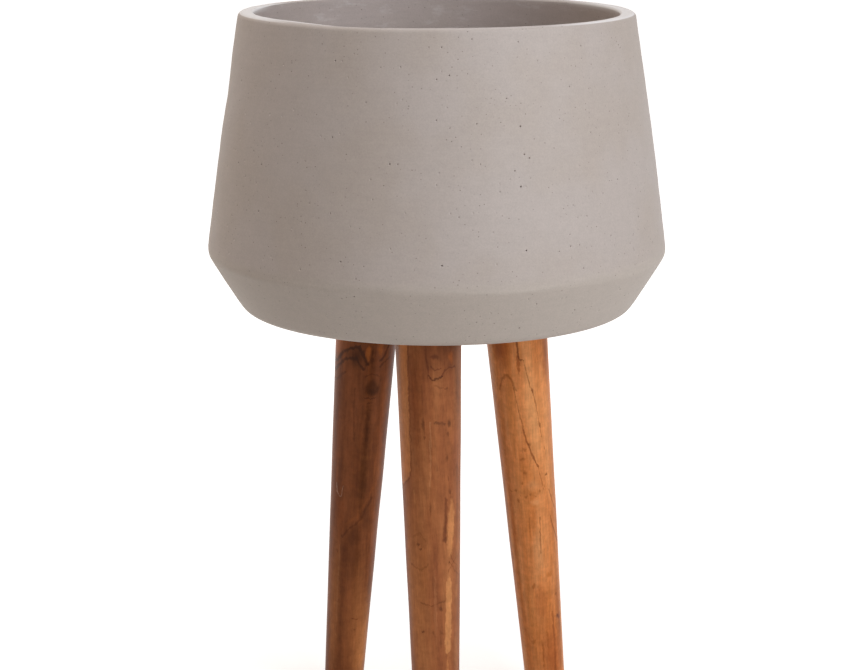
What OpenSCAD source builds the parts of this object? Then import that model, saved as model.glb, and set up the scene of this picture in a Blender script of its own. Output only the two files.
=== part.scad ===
// Plant stand: a cast fibre-cement pot on three turned and splayed teak legs.
// Each leg hangs on an upright bolt that passes through the pot's floor to a seal, a washer and a nut.
// Frame: +Z up, the floor at z = 0, the pot's axis on Z, the front leg towards -Y.

/* [Stand] */
// Height of the whole stand, from the floor to the rim
stand_h = 620; // [560:5:700]

/* [Pot] */
// Greatest diameter of the pot, at its belt
pot_d = 380; // [350:2:420]
// Height of the pot, from its flat underside to its rim
pot_h = 244; // [208:2:286]
// Outer diameter of the rim
rim_d = 324; // [294:1:346]
// Diameter of the flat part of the underside
base_d = 308; // [276:2:324]
// Height of the belt's widest line above the underside
belt_h = 51; // [43:1:76]
// Rounding radius of the belt
belt_round = 12; // [6:1:24]
// Rounding radius of the belt, inside the pot
belt_inner_round = 14; // [8:1:24]
// Rounding radius between the underside and the lower wall
base_round = 12; // [6:0.5:18]
// Rounding radius of the rim's outer edge
rim_round = 4; // [2:0.5:6]
// Rounding radius of the rim's inner edge
rim_inner_round = 2; // [1:0.5:4]
// Thickness of the pot's wall
wall_t = 12.5; // [9.5:0.5:17]
// Thickness of the pot's floor
floor_t = 15; // [10:0.5:22]
// Rounding radius between the pot's floor and wall, inside
floor_round = 15; // [8:1:23]

/* [Drain] */
// Diameter of the drain hole in the middle of the pot's floor
drain_d = 20; // [12:1:30]
// Diameter of the plug's flange, which lies on the pot's floor
plug_flange_d = 34; // [32:1:48]
// Thickness of the plug's flange
plug_flange_t = 3; // [2:0.5:5]
// Diameter of the plug's grip
plug_grip_d = 11; // [8:1:16]
// Height of the plug's grip above the flange
plug_grip_h = 9; // [7:1:14]
// Clearance between the plug and the drain hole, all round
plug_clearance = 0.3; // [0.2:0.05:0.5]

/* [Legs] */
// Diameter of the circle of bolts that hold the legs to the pot
leg_circle_d = 143.5; // [123.5:0.5:171]
// Diameter of the circle on which the legs' axes meet the floor
foot_circle_d = 234; // [196:2:274]
// Turn of the front leg's foot round the stand, in degrees off its own third of the circle
front_foot_turn = 6.5; // [-10:0.5:10]
// Turn of the back right leg's foot
right_foot_turn = 7.5; // [-10:0.5:10]
// Turn of the back left leg's foot
left_foot_turn = -7.5; // [-10:0.5:10]
// Diameter of a leg where it meets the pot
leg_top_d = 54.5; // [45.5:0.5:61]
// Diameter of a leg at the floor
leg_foot_d = 34.5; // [30:0.5:42]

/* [Leg fixings] */
// Diameter of the hanger bolt that holds a leg
bolt_d = 8; // [6:1:10]
// Depth of the hanger bolt's wood thread in the leg
bolt_depth = 45; // [30:1:60]
// Length of bolt that shows above the nut
bolt_end = 5; // [2:0.5:10]
// Clearance between a bolt and its hole in the pot's floor, all round
bolt_hole_clearance = 1; // [0.5:0.25:2]
// Clearance between a bolt and the threads it turns in, all round
thread_clearance = 0.05; // [0.02:0.01:0.1]
// Width of the rubber seal that shows round its washer
seal_margin = 2; // [1:0.5:4]
// Thickness of the rubber seal
seal_t = 3; // [2:0.5:5]
// Outer diameter of the steel washer
washer_d = 24; // [21:0.5:28]
// Thickness of the steel washer
washer_t = 2; // [1.5:0.1:3]
// Clearance between a bolt and the washer's hole, all round
washer_clearance = 0.2; // [0.1:0.05:0.5]
// Width of the nut across its flats
nut_w = 13; // [13:0.5:17]
// Height of the nut
nut_h = 6.5; // [5:0.5:9]

/* [Feet] */
// Diameter of the nail-on glide under a leg
glide_d = 26; // [20:1:30]
// Thickness of the glide's disc
glide_t = 3; // [2:0.5:5]
// Rounding radius of the glide's lower edge
glide_round = 1.5; // [0.5:0.5:2]
// Diameter of the glide's nail
nail_d = 2.8; // [2:0.2:4]
// Length of the glide's nail in the leg
nail_l = 16; // [10:1:25]
// Clearance between the nail and the leg, all round
nail_clearance = 0.05; // [0.02:0.01:0.1]

/* [Hidden] */
SIDES = ["front", "back_right", "back_left"];
function side_names(piece) = [for (side = SIDES) str(piece, "_", side)];

$fn = 96;
arc_step = 6;       // degrees between the points of a rounded stretch
cut_overlap = 1;    // how far a cutter runs past the face that it cuts
leg_spacing = 360 / len(SIDES);
foot_turn = [front_foot_turn, right_foot_turn, left_foot_turn];

base_z = stand_h - pot_h;            // the pot's underside, where the legs end
floor_z = base_z + floor_t;          // the pot's floor, where the seals lie
washer_z = floor_z + seal_t;
nut_z = washer_z + washer_t;
bolt_top_z = nut_z + nut_h + bolt_end;

nut_sides = 6;
nut_chamfer = 30;                    // degrees, at the nut's corners
bolt_chamfer = bolt_d / 8;
bolt_point = 2 * bolt_d;             // length of the wood thread's tapered point
bolt_tip_d = bolt_d / 3;
plug_taper = 0.5;                    // how much slimmer the plug's stem is at its foot, all round
plug_neck_d = plug_grip_d / 2;
plug_bead_h = plug_grip_h / 2;       // height of the bead that fingers hold

// ---- The pot's section ----
// The outside runs round three circles, at the base, the belt and the rim, with straight walls between.

function unit(angle) = [cos(angle), sin(angle)];

// Points on a circle, from one angle to another
function arc(centre, radius, from, to) =
    let (steps = max(1, ceil(abs(to - from) / arc_step)))
    [for (i = [0:steps]) centre + radius * unit(from + (to - from) * i / steps)];

// Angle of the outward normal of the wall that touches two circles on their outer side
function wall_normal(low, low_r, high, high_r) =
    let (run = high - low)
    atan2(run.y, run.x) - acos((low_r - high_r) / norm(run));

// Distance from the section's axis to a centre at height z that lies "reach" along a wall's normal
function centre_x(normal, reach, z) = (reach - unit(normal).y * z) / unit(normal).x;

// The point that lies reach_a along one wall's normal and reach_b along another's
function meeting(normal_a, reach_a, normal_b, reach_b) =
    [
        reach_a * sin(normal_b) - reach_b * sin(normal_a),
        reach_b * cos(normal_a) - reach_a * cos(normal_b)
    ] / sin(normal_b - normal_a);

base_centre = [base_d / 2, base_round];
belt_centre = [pot_d / 2 - belt_round, belt_h];
rim_centre = [rim_d / 2 - rim_round, pot_h - rim_round];
lower_normal = wall_normal(base_centre, base_round, belt_centre, belt_round);
upper_normal = wall_normal(belt_centre, belt_round, rim_centre, rim_round);

// How far along each wall's normal its inner face lies
lower_reach = unit(lower_normal) * belt_centre + belt_round - wall_t;
upper_reach = unit(upper_normal) * belt_centre + belt_round - wall_t;
inner_belt_centre = meeting(
    lower_normal, lower_reach - belt_inner_round,
    upper_normal, upper_reach - belt_inner_round
);
corner_z = floor_t + floor_round;
corner_centre = [centre_x(lower_normal, lower_reach - floor_round, corner_z), corner_z];
lip_z = pot_h - rim_inner_round;
lip_centre = [centre_x(upper_normal, upper_reach + rim_inner_round, lip_z), lip_z];

pot_section = concat(
    [[0, 0]],
    arc(base_centre, base_round, -90, lower_normal),
    arc(belt_centre, belt_round, lower_normal, upper_normal),
    arc(rim_centre, rim_round, upper_normal, 90),
    arc(lip_centre, rim_inner_round, 90, 180 + upper_normal),
    arc(inner_belt_centre, belt_inner_round, upper_normal, lower_normal),
    arc(corner_centre, floor_round, lower_normal, -90),
    [[0, floor_t]]
);

// ---- The legs' places ----
// Each leg is worked out in its own third of the circle, where the bolt stands towards -Y.

bolt_xy = [0, -leg_circle_d / 2];
function floor_xy(i) = foot_circle_d / 2 * [sin(foot_turn[i]), -cos(foot_turn[i])];
function axis_xy(i, z) = floor_xy(i) + (bolt_xy - floor_xy(i)) * z / base_z;
function leg_run(i) = bolt_xy - floor_xy(i);
function leg_tilt(i) = atan(norm(leg_run(i)) / base_z);
function lean_axis(i) = [-leg_run(i).y, leg_run(i).x, 0];

module in_third(i) {
    rotate([0, 0, leg_spacing * i])
        children();
}

module at_bolt(i, z) {
    in_third(i)
        translate([bolt_xy.x, bolt_xy.y, z])
            children();
}

module at_foot(i) {
    xy = axis_xy(i, glide_t);
    in_third(i)
        translate([xy.x, xy.y, 0])
            children();
}

// ---- Pieces ----

module ring(outer_d, inner_d, height) {
    difference() {
        cylinder(d = outer_d, h = height);
        translate([0, 0, -cut_overlap])
            cylinder(d = inner_d, h = height + 2 * cut_overlap);
    }
}

// Fibre-cement pot, with holes in its floor for the drain plug and the legs' bolts
module pot() {
    color("#a59c94")
        difference() {
            translate([0, 0, base_z])
                rotate_extrude($fn = 180)
                    polygon(pot_section);
            translate([0, 0, base_z - cut_overlap])
                cylinder(d = drain_d, h = floor_t + 2 * cut_overlap);
            for (i = [0:len(SIDES) - 1])
                at_bolt(i, base_z - cut_overlap)
                    cylinder(d = bolt_d + 2 * bolt_hole_clearance, h = floor_t + 2 * cut_overlap);
        }
}

// Rubber plug: a flange on the pot's floor, a tapered stem in the hole and a beaded grip
module drain_plug() {
    stem_r = drain_d / 2 - plug_clearance;
    flange_top = plug_flange_t;
    bead_z = flange_top + plug_grip_h - plug_bead_h / 2;
    color("#2a2a2a")
        translate([0, 0, floor_z])
            rotate_extrude()
                polygon(concat(
                    [
                        [0, -floor_t],
                        [stem_r - plug_taper, -floor_t],
                        [stem_r, 0],
                        [plug_flange_d / 2, 0],
                        [plug_flange_d / 2, flange_top / 2],
                        [plug_flange_d / 2 - flange_top / 2, flange_top],
                        [plug_neck_d / 2, flange_top],
                        [plug_neck_d / 2, bead_z - plug_bead_h / 2]
                    ],
                    arc([plug_grip_d / 2 - plug_bead_h / 2, bead_z], plug_bead_h / 2, -90, 90),
                    [[0, bead_z + plug_bead_h / 2]]
                ));
}

// A level slab, wide enough to cut any leg
module slab(from_z, to_z) {
    width = foot_circle_d + 4 * leg_top_d;
    translate([-width / 2, -width / 2, from_z])
        cube([width, width, to_z - from_z]);
}

// Turned leg: a slim cone along the splayed axis, cut level under the pot and above its glide
module leg(i) {
    length = base_z / cos(leg_tilt(i));
    spare = leg_top_d;  // the cone runs this far past both cuts
    taper = (leg_top_d - leg_foot_d) / length;
    color("#9a5b32")
        difference() {
            in_third(i)
                translate([floor_xy(i).x, floor_xy(i).y, 0])
                    rotate(a = leg_tilt(i), v = lean_axis(i))
                        translate([0, 0, -spare])
                            cylinder(
                                d1 = leg_foot_d - taper * spare,
                                d2 = leg_top_d + taper * spare,
                                h = length + 2 * spare
                            );
            slab(-2 * spare, glide_t);
            slab(base_z, base_z + 2 * spare);
            at_bolt(i, base_z - bolt_depth)
                cylinder(d = bolt_d + 2 * thread_clearance, h = bolt_depth + cut_overlap);
            at_foot(i)
                cylinder(d = nail_d + 2 * nail_clearance, h = glide_t + nail_l);
        }
}

// Hanger bolt: a pointed wood thread in the leg and a machine thread up through the pot's floor
module leg_bolt(i) {
    bottom = base_z - bolt_depth;
    color("#b9bcc0")
        at_bolt(i, bottom)
            rotate_extrude()
                polygon([
                    [0, 0],
                    [bolt_tip_d / 2, 0],
                    [bolt_d / 2, bolt_point],
                    [bolt_d / 2, bolt_top_z - bottom - bolt_chamfer],
                    [bolt_d / 2 - bolt_chamfer, bolt_top_z - bottom],
                    [0, bolt_top_z - bottom]
                ]);
}

// Rubber seal that keeps water out of the bolt's hole
module seal(i) {
    color("#1f1f1f")
        at_bolt(i, floor_z)
            ring(washer_d + 2 * seal_margin, bolt_d + 2 * thread_clearance, seal_t);
}

// Steel washer between the seal and the nut
module washer(i) {
    color("#c4c6c9")
        at_bolt(i, washer_z)
            ring(washer_d, bolt_d + 2 * washer_clearance, washer_t);
}

// Hexagon nut with its corners turned off at both ends
module nut(i) {
    corner_r = nut_w / 2 / cos(180 / nut_sides);
    turned_off = (corner_r - nut_w / 2) * tan(nut_chamfer);
    color("#b9bcc0")
        at_bolt(i, nut_z)
            difference() {
                intersection() {
                    cylinder(r = corner_r, h = nut_h, $fn = nut_sides);
                    rotate_extrude()
                        polygon([
                            [0, 0],
                            [nut_w / 2, 0],
                            [corner_r, turned_off],
                            [corner_r, nut_h - turned_off],
                            [nut_w / 2, nut_h],
                            [0, nut_h]
                        ]);
                }
                translate([0, 0, -cut_overlap])
                    cylinder(d = bolt_d + 2 * thread_clearance, h = nut_h + 2 * cut_overlap);
            }
}

// Nail-on glide: a nylon disc on the floor with its nail up in the leg
module foot_glide(i) {
    disc_r = glide_d / 2;
    color("#d9d6cf")
        at_foot(i)
            rotate_extrude()
                polygon(concat(
                    [[0, 0]],
                    arc([disc_r - glide_round, glide_round], glide_round, -90, 0),
                    [
                        [disc_r, glide_t],
                        [nail_d / 2, glide_t],
                        [nail_d / 2, glide_t + nail_l - nail_d],
                        [0, glide_t + nail_l]
                    ]
                ));
}

pot();
drain_plug();
for (i = [0:len(SIDES) - 1]) {
    leg(i);
    leg_bolt(i);
    seal(i);
    washer(i);
    nut(i);
    foot_glide(i);
}
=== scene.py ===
"""Dresses a planter: a cast fibre-cement pot that stands on three turned and splayed teak legs.

Lengths are metres, +Z is up, the floor is z = 0 and the front leg is towards -Y.
"""

import math
import random
from collections import namedtuple

import bpy
import numpy as np
from bpy.props import FloatProperty, FloatVectorProperty, IntProperty, PointerProperty
from mathutils import Matrix, Vector
from mathutils.geometry import delaunay_2d_cdt


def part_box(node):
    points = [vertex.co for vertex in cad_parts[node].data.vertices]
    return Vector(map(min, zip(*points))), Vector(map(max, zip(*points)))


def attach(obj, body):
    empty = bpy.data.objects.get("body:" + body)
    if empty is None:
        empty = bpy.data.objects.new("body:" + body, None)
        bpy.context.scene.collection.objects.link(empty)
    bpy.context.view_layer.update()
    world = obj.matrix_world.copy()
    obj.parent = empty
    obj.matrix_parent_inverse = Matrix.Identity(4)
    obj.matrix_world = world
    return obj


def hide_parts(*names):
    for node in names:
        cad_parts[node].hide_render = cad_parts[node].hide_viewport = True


bl_info = {
    "name": "Planter on Turned Legs",
    "version": (1, 0, 0),
    "blender": (4, 5, 0),
    "location": "View3D > Sidebar > Planter",
    "description": "Builds a fibre-cement planter on teak legs, with its fixings and a studio",
    "category": "Object",
}

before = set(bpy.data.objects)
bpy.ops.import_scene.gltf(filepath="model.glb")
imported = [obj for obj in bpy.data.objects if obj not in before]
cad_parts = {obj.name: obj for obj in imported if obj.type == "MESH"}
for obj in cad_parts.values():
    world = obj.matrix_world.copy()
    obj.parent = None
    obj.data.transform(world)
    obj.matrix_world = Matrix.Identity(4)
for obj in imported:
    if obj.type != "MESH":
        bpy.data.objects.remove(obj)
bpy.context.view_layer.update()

MM = 0.001
TURN = 2 * math.pi
SIDES = ("front", "back_right", "back_left")
STAND = "stand"
PLUG = "plug"
# how much wider a bore is than what goes through it, on each side
PLAY = 0.05 * MM

POT_LOW, POT_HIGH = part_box("pot")
BASE_Z = POT_LOW.z
RIM_Z = POT_HIGH.z
BELT_R = (POT_HIGH.x - POT_LOW.x) / 2
FLOOR_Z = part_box("seal_front")[0].z


# ---- Colours and small helpers ----


def linear(hex_code):
    """An sRGB hex colour as linear RGBA."""
    parts = [int(hex_code[i : i + 2], 16) / 255 for i in (1, 3, 5)]
    return [p / 12.92 if p <= 0.04045 else ((p + 0.055) / 1.055) ** 2.4 for p in parts] + [1.0]


def axis_point(node):
    """The middle of a round node, seen from above."""
    low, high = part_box(node)
    return np.array([(low.x + high.x) / 2, (low.y + high.y) / 2])


def swell(points, wavelength, seed):
    """A smooth random value of about -1 to 1 at each point, which rises and falls over the wavelength."""
    waves = 14
    rng = np.random.default_rng(seed)
    headings = rng.normal(size=(waves, 3))
    headings /= np.linalg.norm(headings, axis=1)[:, None]
    pace = TURN / wavelength * rng.uniform(0.6, 1.4, waves)
    phases = rng.uniform(0, TURN, waves)
    total = np.sin(points @ (headings * pace[:, None]).T + phases).sum(axis=-1)
    return total / math.sqrt(waves)


def smoothstep(value, low, high):
    """0 below low, 1 above high, and an S-shaped rise between."""
    t = np.clip((value - low) / (high - low), 0, 1)
    return t * t * (3 - 2 * t)


# ---- Outlines: lists of (distance from the axis, height) ----


def unit(angle):
    """The direction at an angle."""
    return np.array([math.cos(angle), math.sin(angle)])


def arc(centre, radius, start, end, step=math.radians(7)):
    """Points on a circle, from one angle to another."""
    count = max(2, math.ceil(abs(end - start) / step))
    angles = [start + (end - start) * i / count for i in range(count + 1)]
    return [np.array(centre) + radius * unit(angle) for angle in angles]


def wall_normal(low, low_radius, high, high_radius):
    """Angle of the outward normal of the wall that touches two circles on their outer side."""
    run = np.array(high) - np.array(low)
    return math.atan2(run[1], run[0]) - math.acos((low_radius - high_radius) / np.linalg.norm(run))


def divided(outline, spacing):
    """The outline with its long straight stretches divided."""
    points = [outline[0]]
    for start, end in zip(outline[:-1], outline[1:]):
        parts = max(1, round(float(np.linalg.norm(end - start)) / spacing))
        points += [start + (end - start) * i / parts for i in range(1, parts + 1)]
    return np.array(points)


def rounded(corners, steps=5):
    """An outline through corners of (distance, height, radius), each rounded by its radius."""
    points = []
    count = len(corners)
    for i, (x, z, radius) in enumerate(corners):
        here = np.array([x, z])
        if radius == 0:
            points.append(here)
            continue
        back = np.array(corners[i - 1][:2]) - here
        ahead = np.array(corners[(i + 1) % count][:2]) - here
        back /= np.linalg.norm(back)
        ahead /= np.linalg.norm(ahead)
        half = math.acos(np.clip(back @ ahead, -1, 1)) / 2
        reach = radius / math.tan(half)
        start, end = here + back * reach, here + ahead * reach
        for j in range(steps + 1):
            t = j / steps
            blend = start * (1 - t) ** 2 + 2 * here * t * (1 - t) + end * t**2
            points.append(blend)
    return np.array(points)


# ---- Meshes ----


class Shell:
    """Vertices and faces of a mesh that is being made."""

    def __init__(self):
        self.points = []
        self.faces = []
        self.count = 0

    def add(self, points):
        """Adds points and returns their numbers."""
        points = np.asarray(points, float).reshape(-1, 3)
        self.points.append(points)
        self.count += len(points)
        return np.arange(self.count - len(points), self.count)

    def level(self, flat, z):
        """Adds points seen from above, at one height or at one each, and returns their numbers."""
        return self.add(np.column_stack([flat, np.broadcast_to(z, len(flat))]))

    def band(self, lower, upper):
        """Joins two rings of as many points with quads that face away from the axis when upper is higher."""
        for a, b, c, d in zip(lower, np.roll(lower, -1), np.roll(upper, -1), upper):
            self.faces.append((a, b, c, d))

    def bands(self, rings):
        """Joins each ring to the next."""
        for lower, upper in zip(rings[:-1], rings[1:]):
            self.band(lower, upper)

    def cap(self, ring, tip):
        """Closes a ring with triangles to one point, on the side that follows the ring."""
        for a, b in zip(ring, np.roll(ring, -1)):
            self.faces.append((a, b, tip))

    def vertices(self):
        """All points so far, in the order of their numbers."""
        return np.concatenate(self.points)


def ring_directions(sides):
    """Unit directions round the axis, counted from -Y towards +X."""
    angles = np.arange(sides) * TURN / sides
    return np.stack([np.sin(angles), -np.cos(angles)], axis=1)


def lathe(shell, outline, sides, centre=(0, 0), closed=False):
    """Turns an outline about an upright axis. A point on the axis becomes a single vertex."""
    around = ring_directions(sides)
    rings = []
    for x, z in outline:
        if x < 1e-9:
            rings.append(shell.add([(*centre, z)]))
        else:
            rings.append(shell.level(np.asarray(centre) + around * x, z))
    pairs = list(zip(rings[:-1], rings[1:]))
    if closed:
        pairs.append((rings[-1], rings[0]))
    for lower, upper in pairs:
        if len(lower) == 1:
            shell.cap(upper[::-1], lower[0])
        elif len(upper) == 1:
            shell.cap(lower, upper[0])
        else:
            shell.band(lower, upper)


def make_piece(name, shell, materials, body, replaced, attributes=None, sharp_angle=None):
    """Makes the mesh object, gives it its finish and lets it ride on a body in place of its node.

    It is shaded smooth, but across no edge that is steeper than sharp_angle, in degrees.
    """
    mesh = bpy.data.meshes.new(name)
    mesh.from_pydata(shell.vertices().tolist(), [], [tuple(map(int, face)) for face in shell.faces])
    for key, values in (attributes or {}).items():
        values = np.asarray(values, np.float32)
        kind, field = ("FLOAT", "value") if values.ndim == 1 else ("FLOAT_VECTOR", "vector")
        mesh.attributes.new(key, kind, "POINT").data.foreach_set(field, values.ravel())
    for material in materials:
        mesh.materials.append(material)
    mesh.polygons.foreach_set("use_smooth", [True] * len(mesh.polygons))
    mesh.validate()
    mesh.update()
    if sharp_angle:
        mesh.set_sharp_from_angle(angle=math.radians(sharp_angle))
    piece = bpy.data.objects.new(name, mesh)
    bpy.context.scene.collection.objects.link(piece)
    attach(piece, body)
    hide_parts(replaced)
    return piece


# ---- Materials ----

# how a MapRange eases
SMOOTH = {"interpolation_type": "SMOOTHSTEP"}
# most values of a noise lie between these
NOISE = (0.3, 0.7)


def add_node(tree, kind, values=None, stops=(), **settings):
    """Adds a shader node with its settings and returns its outputs.

    Each value is a number, a colour or the socket that feeds it. Its input is named, or numbered where names
    repeat, as on a Mix of colours, which are 6 and 7.
    """
    made = tree.nodes.new("ShaderNode" + kind)
    for key, setting in settings.items():
        setattr(made, key, setting)
    for key, value in (values or {}).items():
        if isinstance(value, bpy.types.NodeSocket):
            tree.links.new(value, made.inputs[key])
        else:
            made.inputs[key].default_value = value
    for i, (position, shade) in enumerate(stops):
        elements = made.color_ramp.elements
        stop = elements[i] if i < len(elements) else elements.new(position)
        stop.position = position
        stop.color = shade
    return made.outputs


def new_material(name, **surface_values):
    """A material with a Principled surface, and its tree and surface node."""
    material = bpy.data.materials.new(name)
    material.use_nodes = True
    tree = material.node_tree
    surface = tree.nodes["Principled BSDF"]
    for key, value in surface_values.items():
        surface.inputs[key.replace("_", " ")].default_value = value
    return material, tree, surface


def grain(tree, place, size, detail=2.0, roughness=0.5):
    """Noise whose lumps are about so many millimetres long, given as one size or as one along each axis."""
    lengths = size if isinstance(size, tuple) else (size, size, size)
    stretched = add_node(tree, "Mapping", {"Vector": place, "Scale": [1 / (mm * MM) for mm in lengths]})
    values = {"Vector": stretched[0], "Scale": 1.0, "Detail": detail, "Roughness": roughness}
    return add_node(tree, "TexNoise", values)


def eased(value, low, high, to_low=0.0, to_high=1.0):
    """What a MapRange takes in to ease a value from one range to another. It is held at the ends."""
    return {"Value": value, "From Min": low, "From Max": high, "To Min": to_low, "To Max": to_high}


def covered(tree, colour, shade, value, *span):
    """The colour with a shade over it, by a share that follows a value over a span as in eased."""
    share = add_node(tree, "MapRange", eased(value, *span), **SMOOTH)[0]
    return add_node(tree, "Mix", {0: share, 6: colour, 7: shade}, data_type="RGBA")[2]


def veiled(tree, colour, *veils):
    """The colour darkened and lightened by veils, each a value and a span as in eased."""
    for veil in veils:
        factor = add_node(tree, "MapRange", eased(*veil), **SMOOTH)[0]
        values = {0: 1.0, 6: colour, 7: factor}
        colour = add_node(tree, "Mix", values, data_type="RGBA", blend_type="MULTIPLY")[2]
    return colour


def shaken(tree, place, noise, spread):
    """The place moved about by the colour of a noise, over so many millimetres along each axis."""
    values = {0: noise["Color"], 1: [mm * MM for mm in spread], 2: [-mm * MM / 2 for mm in spread]}
    push = add_node(tree, "VectorMath", values, operation="MULTIPLY_ADD")[0]
    return add_node(tree, "VectorMath", {0: place, 1: push}, operation="ADD")[0]


def finish_surface(tree, surface, colour, relief, strength, depth):
    """Gives the surface its colour, and a bump that follows a relief."""
    tree.links.new(colour, surface.inputs["Base Color"])
    bump = add_node(tree, "Bump", {"Strength": strength, "Distance": depth, "Height": relief})
    tree.links.new(bump[0], surface.inputs["Normal"])


def cast_fibre_cement(name, look, bloom):
    """Fibre-cement, cast and sanded by hand: matt and faintly cloudy, with pinholes from trapped air.

    bloom is how much pale lime shows on it, which comes out where nobody sanded.
    """
    material, tree, surface = new_material(name, Roughness=0.6)
    place = add_node(tree, "TexCoord")["Object"]
    height = add_node(tree, "SeparateXYZ", {0: place})[2]
    # sanding opens the pinkish skin of the cement in wide soft clouds, but not below the belt
    clouds = grain(tree, place, 75)
    least_skin, skin, streaky = (0.7, look.cement_raw, 0.02) if bloom else (0.0, look.cement_light, 0.01)
    colour = covered(tree, look.cement_dark, skin, clouds[0], 0.36, 0.6, least_skin, 1.0)
    # below the belt the cement is one even colour, made a little lighter as painted light: it stands in for
    # the light that the floor bounces up onto the lower wall
    belt_z = BASE_Z + look.belt_h
    colour = covered(tree, look.cement_under_bounce_lit, colour, height, belt_z - 4 * MM, belt_z + 8 * MM)
    # sanding drags the surface in short level strokes
    strokes = grain(tree, place, (30, 30, 3))
    mottle = grain(tree, place, 8, detail=3.0, roughness=0.6)
    # the sand in the mix, a grain of which is near the size of a pixel
    sand = grain(tree, place, 1.3, roughness=0.7)
    colour = veiled(
        tree,
        colour,
        (strokes[0], *NOISE, 1 - streaky, 1 + streaky),
        (mottle[0], *NOISE, 0.982, 1.018),
        (sand[0], *NOISE, 0.955, 1.045),
    )
    # pores too small to model: faint dark points under a millimetre wide, which keep together in swarms;
    # their dark is painted shade for the hollow of each pore
    cells = add_node(tree, "TexVoronoi", {"Vector": place, "Scale": 1 / (3.6 * MM)})
    near = add_node(tree, "MapRange", eased(cells["Distance"], 0.08, 0.17, 1.0, 0.0), **SMOOTH)
    chosen = add_node(tree, "SeparateColor", {0: cells["Color"]})
    swarms = grain(tree, place, 22)
    share = add_node(tree, "MapRange", eased(swarms[0], 0.35, 0.65, 0.65, 0.15), **SMOOTH)
    above = add_node(tree, "Math", {0: chosen[0], 1: share[0]}, operation="SUBTRACT")
    picked = add_node(tree, "MapRange", eased(above[0], 0.0, 0.7, 0.15, 0.95), **SMOOTH)
    pore_shade = add_node(tree, "Math", {0: near[0], 1: picked[0]}, operation="MULTIPLY")
    # the modelled pits are darkened inside too, as painted shade
    pit = add_node(tree, "Attribute", attribute_name="pit")
    dark = add_node(tree, "Math", {0: pore_shade[0], 1: pit["Fac"]}, operation="MAXIMUM")
    values = {0: dark[0], 6: colour, 7: look.cement_hole_shade}
    colour = add_node(tree, "Mix", values, data_type="RGBA")[2]
    # lime: a steady film where the casting is bare of sanding, which along the front of the rim's inner edge
    # is a painted highlight, and blots that ran down the inside
    film_and_highlight = add_node(tree, "Attribute", attribute_name="lime_and_highlight")
    blots = grain(tree, place, (24, 24, 9), detail=5.0, roughness=0.65)
    blotted = add_node(tree, "MapRange", eased(blots[0], 0.53, 0.72, 0.0, bloom), **SMOOTH)
    lime_and_highlight = add_node(tree, "Math", {0: film_and_highlight["Fac"], 1: blotted[0]}, operation="MAXIMUM")
    values = {0: lime_and_highlight[0], 6: colour, 7: look.cement_lime_and_highlight}
    colour = add_node(tree, "Mix", values, data_type="RGBA")[2]
    values = {0: sand[0], 1: 0.5, 2: strokes[0]}
    relief = add_node(tree, "Math", values, operation="MULTIPLY_ADD")[0]
    finish_surface(tree, surface, colour, relief, strength=0.25, depth=0.3 * MM)
    return material


# One feature of a leg's figure. path runs through points of (angle, height): degrees round the leg from -Y
# towards +X, and millimetres up its axis. width is in millimetres, soft is the part of its half width that
# fades, and strength is how far its shade covers the wood.
Mark = namedtuple("Mark", "kind path width soft shade strength")

# round the surface of a leg, at its middle
MM_PER_DEGREE = 0.39

# pith is where the tree's centre lies from the leg's own axis, in millimetres, and slant is how far it leans
# to that axis, in degrees, so that the yearly rings come out as arches. seed picks a stretch of the patterns.
LegWood = namedtuple("LegWood", "pale mid dark pith slant seed marks")


def trail(shade, strength, width, *path, soft=0.8, kind="spot"):
    """A mark along a path, such as a crack or a streak. With two points it tapers to both ends.

    As a ring it is only its own edge.
    """
    return Mark(kind, path, width, soft, shade, strength)


def patch(shade, strength, angle, height, wide, tall, soft=0.8):
    """An oval mark, so many degrees wide and millimetres tall."""
    path = ((angle, height - tall / 2), (angle, height + tall / 2))
    return Mark("spot", path, wide * MM_PER_DEGREE, soft, shade, strength)


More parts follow.
